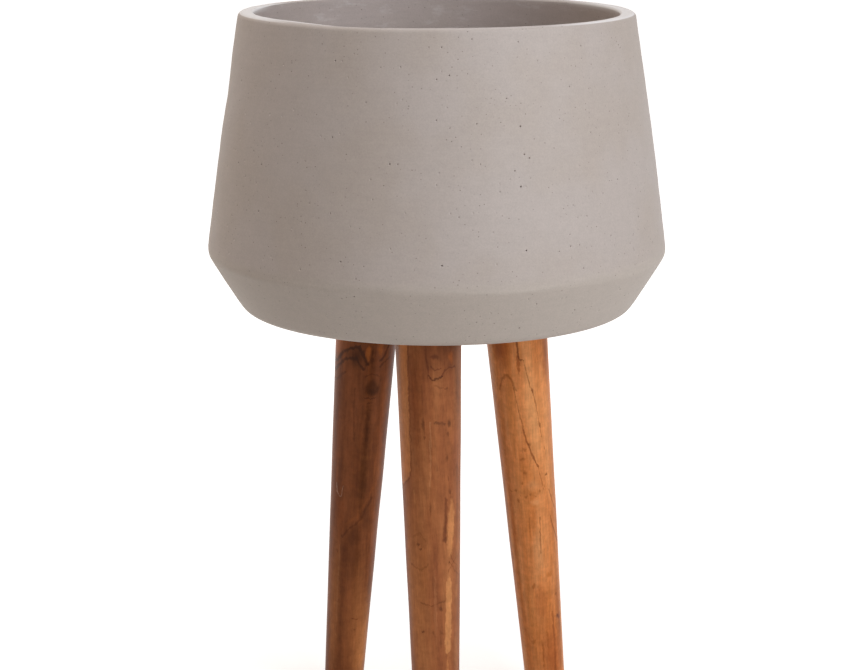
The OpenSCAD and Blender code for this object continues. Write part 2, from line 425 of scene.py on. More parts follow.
def oiled_teak(name, wood):
    """Teak, turned and oiled: brown heartwood with fine dark pores along the grain and a low sheen."""
    # the oil sits in the wood and not on it, so the sheen is weak where the surface is seen square on
    material, tree, surface = new_material(name, Roughness=0.4, IOR=1.2)
    along = add_node(tree, "Attribute", attribute_name="along_leg")["Vector"]
    place = add_node(tree, "Mapping", {"Vector": along, "Location": (0, 0, wood.seed)})[0]
    wander = grain(tree, place, (22, 22, 110))
    from_pith = {
        "Vector": shaken(tree, along, wander, (7, 7, 7)),
        "Location": (wood.pith[0] * MM, wood.pith[1] * MM, 0),
        "Rotation": (math.radians(wood.slant[0]), math.radians(wood.slant[1]), 0),
    }
    ring_width = 3 * MM
    yearly = {
        "Vector": add_node(tree, "Mapping", from_pith)[0],
        "Scale": TURN / 20 / ring_width,
        "Distortion": 2.5,
        "Detail": 3.0,
        "Detail Scale": 0.6,
    }
    rings = add_node(tree, "TexWave", yearly, wave_type="RINGS", rings_direction="Z", wave_profile="SAW")
    tone = grain(tree, place, (10, 10, 90), detail=3.0)
    shades = ((0.34, linear(wood.dark)), (0.5, linear(wood.mid)), (0.66, linear(wood.pale)))
    colour = add_node(tree, "ValToRGB", {0: tone[0]}, stops=shades)[0]
    ragged = grain(tree, place, (3, 3, 9), detail=4.0, roughness=0.6)
    flat = laid_flat(tree, shaken(tree, along, ragged, (3, 3, 6)))
    # cracks and streaks come and go along their way, by a fraction of a millimetre at each side
    bites = grain(tree, place, (3, 3, 4))
    bitten = add_node(tree, "MapRange", eased(bites[0], *NOISE, -0.4, 0.4), **SMOOTH)[0]
    for mark in wood.marks:
        colour = lay_mark(tree, colour, flat, bitten, mark)
    fibre = grain(tree, place, (0.9, 0.9, 20), detail=3.0, roughness=0.6)
    blotch = grain(tree, place, (6, 6, 9), detail=4.0, roughness=0.6)
    # where the fibres wave in and out of the surface it shows level ripples
    ripple = grain(tree, place, (8, 8, 2.5), detail=3.0)
    # teak's pores are 0.2 to 0.3 mm wide, too fine to show, so they are drawn about twice as coarse
    pores = grain(tree, place, (0.6, 0.6, 6), detail=1.0)
    colour = veiled(
        tree,
        colour,
        (rings["Fac"], 0.1, 1.0, 1.02, 0.95),
        (fibre[0], *NOISE, 0.94, 1.06),
        (blotch[0], *NOISE, 0.89, 1.11),
        (ripple[0], *NOISE, 0.965, 1.035),
        (pores[0], 0.58, 0.72, 1.0, 0.86),
    )
    relief = add_node(tree, "Math", {0: fibre[0], 1: pores[0]}, operation="SUBTRACT")
    finish_surface(tree, surface, colour, relief[0], strength=0.15, depth=0.15 * MM)
    return material


def laid_flat(tree, place):
    """A leg's surface rolled out flat: millimetres round it from its front, and millimetres up it."""
    parts = add_node(tree, "SeparateXYZ", {0: place})
    ahead = add_node(tree, "Math", {0: parts[1], 1: -1.0}, operation="MULTIPLY")[0]
    angle = add_node(tree, "Math", {0: parts[0], 1: ahead}, operation="ARCTAN2")[0]
    mm_per_radian = math.degrees(MM_PER_DEGREE)
    across = add_node(tree, "Math", {0: angle, 1: mm_per_radian}, operation="MULTIPLY")[0]
    up = add_node(tree, "Math", {0: parts[2], 1: MM}, operation="DIVIDE")[0]
    return add_node(tree, "CombineXYZ", {0: across, 1: up})[0]


def lay_mark(tree, colour, flat, bitten, mark):
    """Lays one mark over the wood's colour: an oval for two points, and a band of even width for more.

    bitten is how far its edge is eaten in or bulges out at each point, in millimetres.
    """
    points = [(angle * MM_PER_DEGREE, height) for angle, height in mark.path]
    half_width = mark.width / 2
    oval = len(points) == 2
    # how far off the mark's middle a place lies, in half widths; it starts beyond any mark
    reach = 99.0
    for (x, z), (next_x, next_z) in zip(points[:-1], points[1:]):
        half_run = math.hypot(next_x - x, next_z - z) / 2
        middle = ((x + next_x) / 2, (z + next_z) / 2, 0)
        values = {"Vector": flat, "Center": middle, "Angle": -math.atan2(next_z - z, next_x - x)}
        turned = add_node(tree, "VectorRotate", values)[0]
        half_length = half_run if oval else half_width
        values = {
            0: turned,
            1: (1 / half_length, 1 / half_width, 0),
            2: (-middle[0] / half_length, -middle[1] / half_width, 0),
        }
        away = add_node(tree, "VectorMath", values, operation="MULTIPLY_ADD")[0]
        if not oval:
            # the distance to the stretch between two points
            away = add_node(tree, "VectorMath", {0: away}, operation="ABSOLUTE")[0]
            core = (half_run / half_width, 0, 0)
            away = add_node(tree, "VectorMath", {0: away, 1: core}, operation="SUBTRACT")[0]
            away = add_node(tree, "VectorMath", {0: away, 1: (0, 0, 0)}, operation="MAXIMUM")[0]
        away = add_node(tree, "VectorMath", {0: away}, operation="LENGTH")["Value"]
        reach = add_node(tree, "Math", {0: away, 1: reach}, operation="MINIMUM")[0]
    # a thin crack would come apart in dots, so its edge is bitten less
    values = {0: bitten, 1: min(1 / half_width, 0.7), 2: reach}
    reach = add_node(tree, "Math", values, operation="MULTIPLY_ADD")[0]
    if mark.kind == "ring":
        reach = add_node(tree, "Math", {0: reach, 1: 1.0}, operation="SUBTRACT")[0]
        reach = add_node(tree, "Math", {0: reach}, operation="ABSOLUTE")[0]
        fade = (0.0, mark.soft)
    else:
        fade = (1 - mark.soft, 1.0)
    return covered(tree, colour, linear(mark.shade), reach, *fade, mark.strength, 0.0)


def mottled(name, size, detail, span, shades, rough=None, tooth=None, **surface_values):
    """A material that wavers between two shades, over lumps of a size and a span of their noise.

    rough is the roughness at both ends, if that wavers too, and tooth is the grain of a bump.
    """
    material, tree, surface = new_material(name, **surface_values)
    place = add_node(tree, "TexCoord")["Object"]
    lumps = grain(tree, place, size, detail)[0]
    colour = covered(tree, linear(shades[0]), linear(shades[1]), lumps, *span)
    if rough:
        dulled = add_node(tree, "MapRange", eased(lumps, *NOISE, *rough), **SMOOTH)
        tree.links.new(dulled[0], surface.inputs["Roughness"])
    if tooth:
        relief = grain(tree, place, tooth)[0]
        finish_surface(tree, surface, colour, relief, strength=0.3, depth=0.1 * MM)
    else:
        tree.links.new(colour, surface.inputs["Base Color"])
    return material


def black_rubber(name):
    """Moulded black rubber: matt, with a fine even tooth from the mould and a trace of dust."""
    shades = "#1F1F1E", "#3A3835"
    return mottled(name, 6, 4.0, (0.4, 0.75), shades, tooth=0.4, Roughness=0.68)


def zinc_plated_steel():
    """Rolled steel with bright zinc plate: bluish grey metal, slightly mottled where the zinc has dulled."""
    shades = "#C4C8CC", "#9DA1A5"
    return mottled("Zinc-plated steel", 2.5, 4.0, (0.35, 0.7), shades, rough=(0.24, 0.42), Metallic=1.0)


def stamped_stainless():
    """Stainless steel washer: stamped from sheet, so its faces keep the mill's fine straight lines."""
    name, lines = "Stamped stainless steel", (8, 0.25, 8)
    return mottled(name, lines, 3.0, NOISE, ("#D0CFCC", "#B5B4B1"), rough=(0.22, 0.36), Metallic=1.0)


def nylon():
    """Moulded nylon, off-white: slightly waxy, and scuffed where it slides on a floor."""
    scuffs = (9, 0.8, 4)
    return mottled("Moulded nylon", scuffs, 4.0, (0.5, 0.75), ("#DAD6CC", "#B9B3A6"), Roughness=0.45)


# ---- Settings that a user would change ----


def length(label, text, default, low, high):
    """A length, in metres, with its range."""
    return FloatProperty(name=label, description=text, default=default, min=low, max=high, unit="LENGTH")


def turning(label, text, degrees):
    """An angle, given in degrees."""
    return FloatProperty(name=label, description=text, default=math.radians(degrees), unit="ROTATION")


def shade_of(label, text, hex_code):
    """A colour, given as sRGB hex."""
    default = linear(hex_code)
    return FloatVectorProperty(
        name=label, description=text, default=default, size=4, min=0, max=1, subtype="COLOR"
    )


class PotSettings(bpy.types.PropertyGroup):
    """Shape and finish of the pot. Its height, floor and greatest width come from the frame."""

    rim_d: length("Rim diameter", "Outer diameter of the rim", 324 * MM, 0.294, 0.346)
    base_d: length("Base diameter", "Diameter of the flat part of the underside", 308 * MM, 0.276, 0.324)
    belt_h: length("Belt height", "Height of the belt above the underside", 51 * MM, 0.043, 0.076)
    belt_round: length("Belt rounding", "Rounding radius of the belt", 12 * MM, 0.006, 0.024)
    belt_inner_round: length("Inner belt rounding", "The belt's radius inside", 14 * MM, 0.008, 0.024)
    base_round: length("Base rounding", "Rounding radius between underside and wall", 12 * MM, 0.006, 0.018)
    rim_round: length("Rim rounding", "Rounding radius of the rim's outer edge", 4 * MM, 0.002, 0.006)
    lip_round: length("Lip rounding", "Rounding radius of the rim's inner edge", 2 * MM, 0.001, 0.004)
    wall_t: length("Wall", "Thickness of the wall", 12.5 * MM, 0.0095, 0.017)
    floor_round: length("Floor rounding", "Radius between floor and wall inside", 15 * MM, 0.008, 0.023)
    wall_bow: length("Wall bow", "How far the wall bows out above the belt", 0.9 * MM, 0, 0.002)
    rim_fall: length("Rim fall", "How far the rim falls inwards at the front", 2 * MM, 0, 0.004)
    unevenness: length("Unevenness", "How far the hand-finished wall strays from true", 0.35 * MM, 0, 0.001)
    pits: IntProperty(name="Pits", description="Number of open air holes", default=420, min=0, max=1500)
    pit_seed: IntProperty(name="Pit seed", description="Seed that scatters the air holes", default=11)
    cement_light: shade_of("Cement, light", "Pinkish clouds in the cement", "#ADA39D")
    cement_dark: shade_of("Cement, dark", "Greenish grey of the cement", "#AA9F97")
    # made a little lighter as painted light, for what the floor bounces up onto the lower wall
    cement_under_bounce_lit: shade_of("Cement, below the belt", "Cement of the lower wall", "#AFA59C")
    cement_raw: shade_of("Cement, inside", "Cement that nobody sanded", "#B3A8A4")
    # painted shade: the dark drawn inside a pit or a pore
    cement_hole_shade: shade_of("Air holes", "Inside of an air hole", "#736A63")
    # the pale colour of the lime also paints a highlight along the front of the rim's inner edge
    cement_lime_and_highlight: shade_of("Lime bloom", "Pale lime on the rim and the unsanded inside", "#DAD7D6")


class LegSettings(bpy.types.PropertyGroup):
    """Shape of the legs. Their places come from the frame."""

    top_d: length("Top diameter", "Diameter where a leg meets the pot", 54.5 * MM, 0.0455, 0.061)
    foot_d: length("Foot diameter", "Diameter at the floor", 34.5 * MM, 0.03, 0.042)
    edge_round: length("Edge rounding", "How far each end's edge is eased", 0.8 * MM, 0.0002, 0.002)
    bolt_depth: length("Bolt depth", "Depth of the bolt's hole", 45 * MM, 0.03, 0.06)
    nail_depth: length("Nail depth", "Depth of the glide's nail hole", 16 * MM, 0.01, 0.025)


class FixingSettings(bpy.types.PropertyGroup):
    """Sizes of the bought-in fixings. Their places and outer sizes come from the frame."""

    bolt_d: length("Bolt diameter", "Diameter over the bolt's thread", 8 * MM, 0.006, 0.01)
    pitch: length("Machine thread pitch", "Rise of the upper thread in one turn", 1.25 * MM, 0.001, 0.0015)
    wood_pitch: length("Wood thread pitch", "Rise of the lower thread in one turn", 3.2 * MM, 0.0025, 0.004)
    hole_clearance: length("Hole clearance", "Room round a bolt in the pot's floor", 1 * MM, 0.0005, 0.002)
    drain_d: length("Drain hole", "Diameter of the drain hole", 20 * MM, 0.012, 0.03)
    nail_d: length("Nail diameter", "Diameter of a glide's nail", 2.8 * MM, 0.002, 0.004)


class StageSettings(bpy.types.PropertyGroup):
    """Camera and studio."""

    lens: FloatProperty(name="Lens", description="Focal length", default=91.2, min=20, max=200, unit="CAMERA")
    distance: length("Distance", "Camera's distance from the pot's axis, level", 1789 * MM, 0.5, 5)
    height: length("Camera height", "Camera's height above the floor", 764 * MM, 0, 3)
    azimuth: turning("Azimuth", "Camera's way round the stand from -Y", 5.81)
    pitch: turning("Pitch", "How far the camera looks down", 13.08)
    aside: turning("Aside", "How far the camera looks left of the axis", 0.18)
    floor_white: FloatProperty(
        name="Floor white", description="Light added to the floor near the stand", default=0.62, min=0, max=1
    )


# ---- The pot ----


def pot_outlines(look):
    """The outside from the underside to the rim's top, and the inside from there to the flat of the floor."""
    height = RIM_Z - BASE_Z
    floor_t = FLOOR_Z - BASE_Z
    base = (look.base_d / 2, look.base_round)
    belt = (BELT_R - look.belt_round, look.belt_h)
    rim = (look.rim_d / 2 - look.rim_round, height - look.rim_round)
    lower = wall_normal(base, look.base_round, belt, look.belt_round)
    upper = wall_normal(belt, look.belt_round, rim, look.rim_round)

    def inner_reach(normal):
        """How far along a wall's normal its inner face lies."""
        return unit(normal) @ np.array(belt) + look.belt_round - look.wall_t

    def inner_centre(normal, radius, z):
        """Centre at height z of a circle that touches the inside of the wall with that normal."""
        return ((inner_reach(normal) + radius - unit(normal)[1] * z) / unit(normal)[0], z)

    lip = inner_centre(upper, look.lip_round, height - look.lip_round)
    corner = inner_centre(lower, -look.floor_round, floor_t + look.floor_round)
    reaches = [inner_reach(normal) - look.belt_inner_round for normal in (lower, upper)]
    inner_belt = np.linalg.solve([unit(lower), unit(upper)], reaches)
    outside = (
        arc(base, look.base_round, -math.pi / 2, lower)
        + arc(belt, look.belt_round, lower, upper, math.radians(3))
        + arc(rim, look.rim_round, upper, math.pi / 2, math.radians(12))
    )
    inside = (
        arc(lip, look.lip_round, math.pi / 2, math.pi + upper, math.radians(15))
        + arc(inner_belt, look.belt_inner_round, upper, lower, math.radians(4))
        + arc(corner, look.floor_round, lower, -math.pi / 2)
    )
    return np.array(outside), np.array(inside)


def stray(points, look):
    """How far the sanded wall strays and bows outwards from true at each point."""
    broad = swell(points, 150 * MM, seed=3)
    tight = swell(points * (1, 1, 1.8), 34 * MM, seed=4)
    # each wall bows out between its ends, the lower one half as far
    rise = np.interp(points[:, 2], (BASE_Z, BASE_Z + look.belt_h, RIM_Z), (-1, 0, 1))
    bow = look.wall_bow * np.sin(math.pi * np.abs(rise)) * np.where(rise < 0, 0.5, 1.0)
    bend = look.unevenness * (0.6 * broad + 0.15 * tight) + bow
    # nothing reaches past the belt's own diameter
    margin = 0.1 * MM
    return np.minimum(bend, BELT_R - margin - np.linalg.norm(points[:, :2], axis=1))


def hollow(points):
    """A shallow hollow that a hand pressed in the wall, near the left end of the rim."""
    azimuth, height, wall_r = math.radians(-79), 557 * MM, 180 * MM
    # how far it reaches up and down, how many times as far round the wall, and how deep it is
    reach, stretch, depth = 34 * MM, 2.2, 0.8 * MM
    middle = np.array([math.sin(azimuth), -math.cos(azimuth)])
    flat = points[:, :2] / np.linalg.norm(points[:, :2], axis=1)[:, None]
    across = np.arccos(np.clip(flat @ middle, -1, 1)) * wall_r
    away = np.hypot(across / (stretch * reach), (points[:, 2] - height) / reach)
    return -depth * (1 - smoothstep(away, 0, 1))


def rim_dip(ring, look):
    """How far the hand-sanded rim falls inwards at its inner edge: most just left of the front."""
    toward = np.degrees(np.arctan2(ring[:, 0], -ring[:, 1]))
    # degrees from the front, towards +X: where the dip begins, is deepest, has lost a share, wanes and ends
    begins, deepest, lessened, wanes, ends = -45, -14, 8, 80, 130
    lost = 0.45
    left = smoothstep(toward, begins, deepest)
    right = smoothstep(toward, ends, wanes)
    return look.rim_fall * left * right * (1 - lost * smoothstep(toward, deepest, lessened))


def far_left(points):
    """How much a point of the rim belongs to its far left, which was sanded less."""
    return smoothstep(points[:, 1], -5 * MM, 45 * MM) * smoothstep(points[:, 0], 60 * MM, -20 * MM)


def rim_lime_and_highlight(points, look):
    """How much pale lime colour lies on the rim: on the front half of its inner edge, where it is a painted
    highlight, and all over it at the sides.
    """
    x, y, z = points.T
    around = np.linalg.norm(points[:, :2], axis=1)
    rim_r = look.rim_d / 2
    # at the far left the film stops at the edge itself, and elsewhere the rim dips and takes it along
    far = far_left(points)
    top = smoothstep(z, RIM_Z - (3.5 - 2.9 * far) * MM, RIM_Z - (1.8 - 1.5 * far) * MM)
    # along the front half of the inner edge the film is a painted highlight
    lip = smoothstep(around, rim_r - 6 * MM, rim_r - 8.5 * MM) * smoothstep(y, 55 * MM, 5 * MM)
    side_from, side_to = 85 * MM, 135 * MM
    left = smoothstep(-x, side_from, side_to) * smoothstep(y, 85 * MM, 35 * MM)
    side = np.maximum(left, smoothstep(x, side_from, side_to))
    # a trace of it lies on all of the flat, but not on the outer edge
    trace, outer_edge = 0.15, 1.2 * MM
    return top * np.maximum(lip, np.maximum(side, trace)) * (around < rim_r - outer_edge)


def build_pot(look, fixings):
    """The pot's mesh, with its holed floor and its pits, and for each vertex its painted shade inside a pit
    and its lime film, which carries the rim's painted highlight.
    """
    sides, spacing = 540, 3 * MM
    # how far above its flats, and below the rim, the wall needs to get uneven
    base_ease, rim_ease = 12 * MM, 14 * MM
    # how far below the rim its dip sets in and is full, and how much of it reaches the outer edge
    dip_low, dip_full, outer_dip = 30 * MM, 3 * MM, 0.45
    outer_edge = 3 * MM
    # how far the inner edge at the far left goes from its rounding to a true corner
    crispness = 0.75
    outside, inside = pot_outlines(look)
    outline = divided(np.concatenate([outside, inside]), spacing)
    outline[:, 1] += BASE_Z
    along = np.gradient(outline, axis=0)
    normals = np.stack([along[:, 1], -along[:, 0]], axis=1)
    normals /= np.linalg.norm(normals, axis=1)[:, None]
    around = ring_directions(sides)
    # the bounds of the inner edge's rounding, and where the corner would be without it
    lip_x, lip_z = inside[0, 0] + 0.1 * MM, RIM_Z - 1.3 * look.lip_round
    corner_x = inside[0, 0] - 1.2 * look.lip_round
    shell = Shell()
    rings = []
    for (x, z), (out, up) in zip(outline, normals):
        ring = np.column_stack([around * x, np.full(sides, z)])
        facing = np.column_stack([around * out, np.full(sides, up)])
        # the underside and the floor inside stay flat, because pieces seat on them, and the rim stays level
        seat_z = BASE_Z if out > 0 else FLOOR_Z
        ease = smoothstep(z, seat_z, seat_z + base_ease) * smoothstep(z, RIM_Z, RIM_Z - rim_ease)
        bend = stray(ring, look) * math.copysign(1, out)
        if out > 0:
            bend += hollow(ring)
        ring += facing * (bend * ease)[:, None]
        if x < lip_x and z > lip_z:
            crisp = crispness * far_left(ring)
            ring[:, :2] += around * (corner_x - x) * crisp[:, None]
            ring[:, 2] += (RIM_Z - z) * crisp
        inner_edge = look.rim_d / 2 - look.wall_t + look.lip_round
        inner_share = smoothstep(x, look.rim_d / 2 - outer_edge, inner_edge)
        near_top = smoothstep(z, RIM_Z - dip_low, RIM_Z - dip_full)
        ring[:, 2] -= rim_dip(ring, look) * (outer_dip + (1 - outer_dip) * inner_share) * near_top
        rings.append(shell.add(ring))
    quads = []
    for lower, upper in zip(rings[:-1], rings[1:]):
        quads.append(np.stack([lower, np.roll(lower, -1), np.roll(upper, -1), upper], axis=1))
    quads = np.concatenate(quads)
    points = shell.vertices()
    pitted = choose_pits(points, quads, look)
    keep = np.ones(len(quads), bool)
    keep[pitted] = False
    shell.faces += [tuple(q) for q in quads[keep]]
    soft = []
    rng = random.Random(look.pit_seed)
    for number in pitted:
        soft += add_pit(shell, points, quads[number], rng)
    bolt_hole = fixings.bolt_d / 2 + fixings.hole_clearance
    holes = [(np.zeros(2), fixings.drain_d / 2)]
    holes += [(axis_point("leg_bolt_" + side), bolt_hole) for side in SIDES]
    easing = 0.6 * MM
    mouths = [(centre, radius + easing) for centre, radius in holes]
    lower_loops = add_plate(shell, rings[0], mouths, BASE_Z, facing_up=False)
    upper_loops = add_plate(shell, rings[-1], mouths, FLOOR_Z, facing_up=True)
    for (centre, radius), low_loop, high_loop in zip(holes, lower_loops, upper_loops):
        flat = centre + ring_directions(len(low_loop)) * radius
        low = shell.level(flat, BASE_Z + easing)
        high = shell.level(flat, FLOOR_Z - easing)
        for lower, upper in ((low_loop, low), (low, high), (high, high_loop)):
            shell.band(upper, lower)
    # the vertices inside the pits are marked for painted shade
    pit = np.zeros(shell.count)
    pit[soft] = 1
    return shell, {"pit": pit, "lime_and_highlight": rim_lime_and_highlight(shell.vertices(), look)}


def choose_pits(points, quads, look):
    """Numbers of the quads that hold a pit, none next to another: outside, where sanding opened them."""
    middle = points[quads].mean(axis=1)
    span = np.linalg.norm(points[quads[:, 2]] - points[quads[:, 0]], axis=1)
    radial = np.linalg.norm(middle[:, :2], axis=1)
    rng = np.random.default_rng(look.pit_seed)
    first = points[quads[:, 0]]
    facing = np.cross(points[quads[:, 1]] - first, points[quads[:, 3]] - first)
    facing /= np.linalg.norm(facing, axis=1)[:, None]
    outward = (facing[:, :2] * middle[:, :2]).sum(axis=1) / radial
    # a quad has to be wide enough for the largest pit, and be neither in the floor nor on the inner wall
    least_span, least_r = 3.4 * MM, 150 * MM
    fits = (span > least_span) & (radial > least_r) & (outward > -0.5)
    order = rng.permutation(np.flatnonzero(fits))
    taken = set()
    chosen = []
    for number in order:
        corners = set(quads[number].tolist())
        if corners & taken:
            continue
        chosen.append(int(number))
        taken |= corners
        if len(chosen) == look.pits:
            break
    return sorted(chosen)


def add_pit(shell, points, quad, rng):
    """Puts a small round hole in one quad. Returns the vertices inside the hole."""
    corners = points[quad]
    centre = corners.mean(axis=0)
    side = corners[1] - corners[0]
    side /= np.linalg.norm(side)
    facing = np.cross(corners[1] - corners[0], corners[3] - corners[0])
    facing /= np.linalg.norm(facing)
    rise = np.cross(facing, side)
    # most are near the smallest size, because the random share is raised to a power
    smallest, spread, power = 0.22, 0.5, 2.2
    radius = (smallest + spread * rng.random() ** power) * MM
    squash = rng.uniform(0.7, 1.0)
    depth = radius * rng.uniform(0.8, 1.5)
    # the eight directions start at the quad's first corner
    turns = [math.radians(202.5 + 45 * i) for i in range(8)]
    rims = []
    for scale, fall in ((1.0, 0.0), (0.85, 0.6), (0.45, 1.0)):
        ring = []
        for t in turns:
            along = side * (math.cos(t) * radius * scale)
            up = rise * (math.sin(t) * radius * scale * squash)
            ring.append(centre + along + up - facing * (depth * fall))
        rims.append(shell.add(ring))
    # the middle of the bottom lies a little deeper
    bottom = shell.add([centre - facing * depth * 1.15])
    edge = rims[0]
    for i in range(4):
        a, b = quad[i], quad[(i + 1) % 4]
        first, second, third = edge[2 * i], edge[2 * i + 1], edge[(2 * i + 2) % 8]
        shell.faces.append((a, second, first))
        shell.faces.append((a, b, third, second))
    shell.bands(rims)
    shell.cap(rims[-1], bottom[0])
    return list(rims[1]) + list(rims[2]) + list(bottom)


def add_plate(shell, rim, holes, z, facing_up):
    """Fills a level ring of vertices with triangles round its holes. Returns each hole's loop."""
    hole_sides = 64
    # the points between keep the triangles even, and stay clear of the rim and of the holes
    grid, innermost, rim_gap, hole_gap = 9 * MM, 12 * MM, 5 * MM, 4 * MM
    flat = [Vector(p[:2]) for p in shell.vertices()[rim]]
    edges = [(i, (i + 1) % len(flat)) for i in range(len(flat))]
    loops = []
    for centre, radius in holes:
        start = len(flat)
        around = centre + ring_directions(hole_sides) * radius
        flat += [Vector(p) for p in around]
        loops.append(range(start, len(flat)))
        edges += [(start + i, start + (i + 1) % hole_sides) for i in range(hole_sides)]
    reach = np.linalg.norm(shell.vertices()[rim[0]][:2])
    for ring in np.arange(innermost, reach - rim_gap, grid):
        for p in ring_directions(max(12, round(TURN * ring / grid))) * ring:
            if all(np.linalg.norm(p - c) > r + hole_gap for c, r in holes):
                flat.append(Vector(p))
    filled, _, faces, *_ = delaunay_2d_cdt(flat, edges, [], 4, 1e-7)
    if len(filled) != len(flat):
        raise ValueError("the floor's outline crosses itself")
    new = shell.add([(p.x, p.y, z) for p in flat[len(rim) :]])
    numbers = list(rim) + list(new)
    for face in faces:
        corners = [numbers[i] for i in face]
        shell.faces.append(tuple(corners if facing_up else corners[::-1]))
    return [[numbers[i] for i in loop] for loop in loops]


# ---- The legs ----


def leg_place(side):
    """Where a leg's own axes lie: its origin is on the floor and its Z runs up its axis. Also its length."""
    foot = axis_point("foot_glide_" + side)
    top = axis_point("leg_bolt_" + side)
    foot_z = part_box("leg_" + side)[0].z
    slope = (top - foot) / (BASE_Z - foot_z)
    start = Vector((*(foot - slope * foot_z), 0))
    end = Vector((*top, BASE_Z))
    run = end - start
    turn = Vector((0, 0, 1)).rotation_difference(run).to_matrix().to_4x4()
    return Matrix.Translation(start) @ turn, run.length


def build_leg(side, legs, fixings):
    """A leg's mesh and each vertex's place along the leg's own axes.

    It is a slim cone with level ends, eased edges and a hole in each end.
    """
    place, run = leg_place(side)
    sides, rows = 168, 150
    # a turned leg is a little out of round, in waves that are longer along it than round it
    wobble_h, wobble_w = 0.12 * MM, 40 * MM
    foot_r, top_r = legs.foot_d / 2, legs.top_d / 2
    slope = (top_r - foot_r) / run
    around = ring_directions(sides)
    turn = np.array(place.to_3x3())
    origin = np.array(place.translation)
    tip = around @ turn[2, :2]
    foot_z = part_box("leg_" + side)[0].z

    def reach(z):
        """How far up its axis each side of the cone meets a level."""
        return (z - foot_r * tip) / (turn[2, 2] + slope * tip)

    ends = reach(foot_z), reach(BASE_Z)
    ease = legs.edge_round
    steps = [(0.0, 1.0), (0.3, 0.3), (1.0, 0.0)]
    stations = [(0, ease * up, ease * cut) for up, cut in steps]
    stations += [(i / rows, 0, 0) for i in range(1, rows)]
    stations += [(1, -ease * up, ease * cut) for up, cut in reversed(steps)]
    shell = Shell()
    rings = []
    for part, lift, cut in stations:
        s = ends[0] * (1 - part) + ends[1] * part + lift
        r = foot_r + slope * s - cut
        ring = np.column_stack([around * r[:, None], s])
        wobble = wobble_h * swell(ring * (1, 1, 0.5), wobble_w, seed=17 + len(side))
        ring[:, :2] += around * (wobble * math.sin(math.pi * part))[:, None]
        ring = ring @ turn.T + origin
        ring[:, 2] = np.clip(ring[:, 2], foot_z, BASE_Z)
        rings.append(shell.add(ring))
    shell.bands(rings)
    bolt_hole = around * (fixings.bolt_d / 2 + PLAY)
    nail_hole = around[::-1] * (fixings.nail_d / 2 + PLAY)
    close_end(shell, rings[-1], axis_point("leg_bolt_" + side), bolt_hole, BASE_Z, -legs.bolt_depth)
    close_end(shell, rings[0][::-1], axis_point("foot_glide_" + side), nail_hole, foot_z, legs.nail_depth)
    return shell, (shell.vertices() - origin) @ turn


def close_end(shell, ring, centre, mouth, z, depth):
    """Closes a leg's end with flat end grain round an upright blind hole. mouth is given from its centre."""
    rim = shell.vertices()[ring][:, :2]
    mouth = centre + mouth
    loops = [ring]
    loops += [shell.level(rim * (1 - part) + mouth * part, z) for part in (0.25, 0.5, 0.75, 0.93, 1.0)]
    loops += [shell.level(mouth, z + depth * share) for share in (0.03, 0.35, 0.7, 1.0)]
    shell.bands(loops)
    shell.cap(loops[-1], shell.add([(*centre, z + depth * 1.03)])[0])


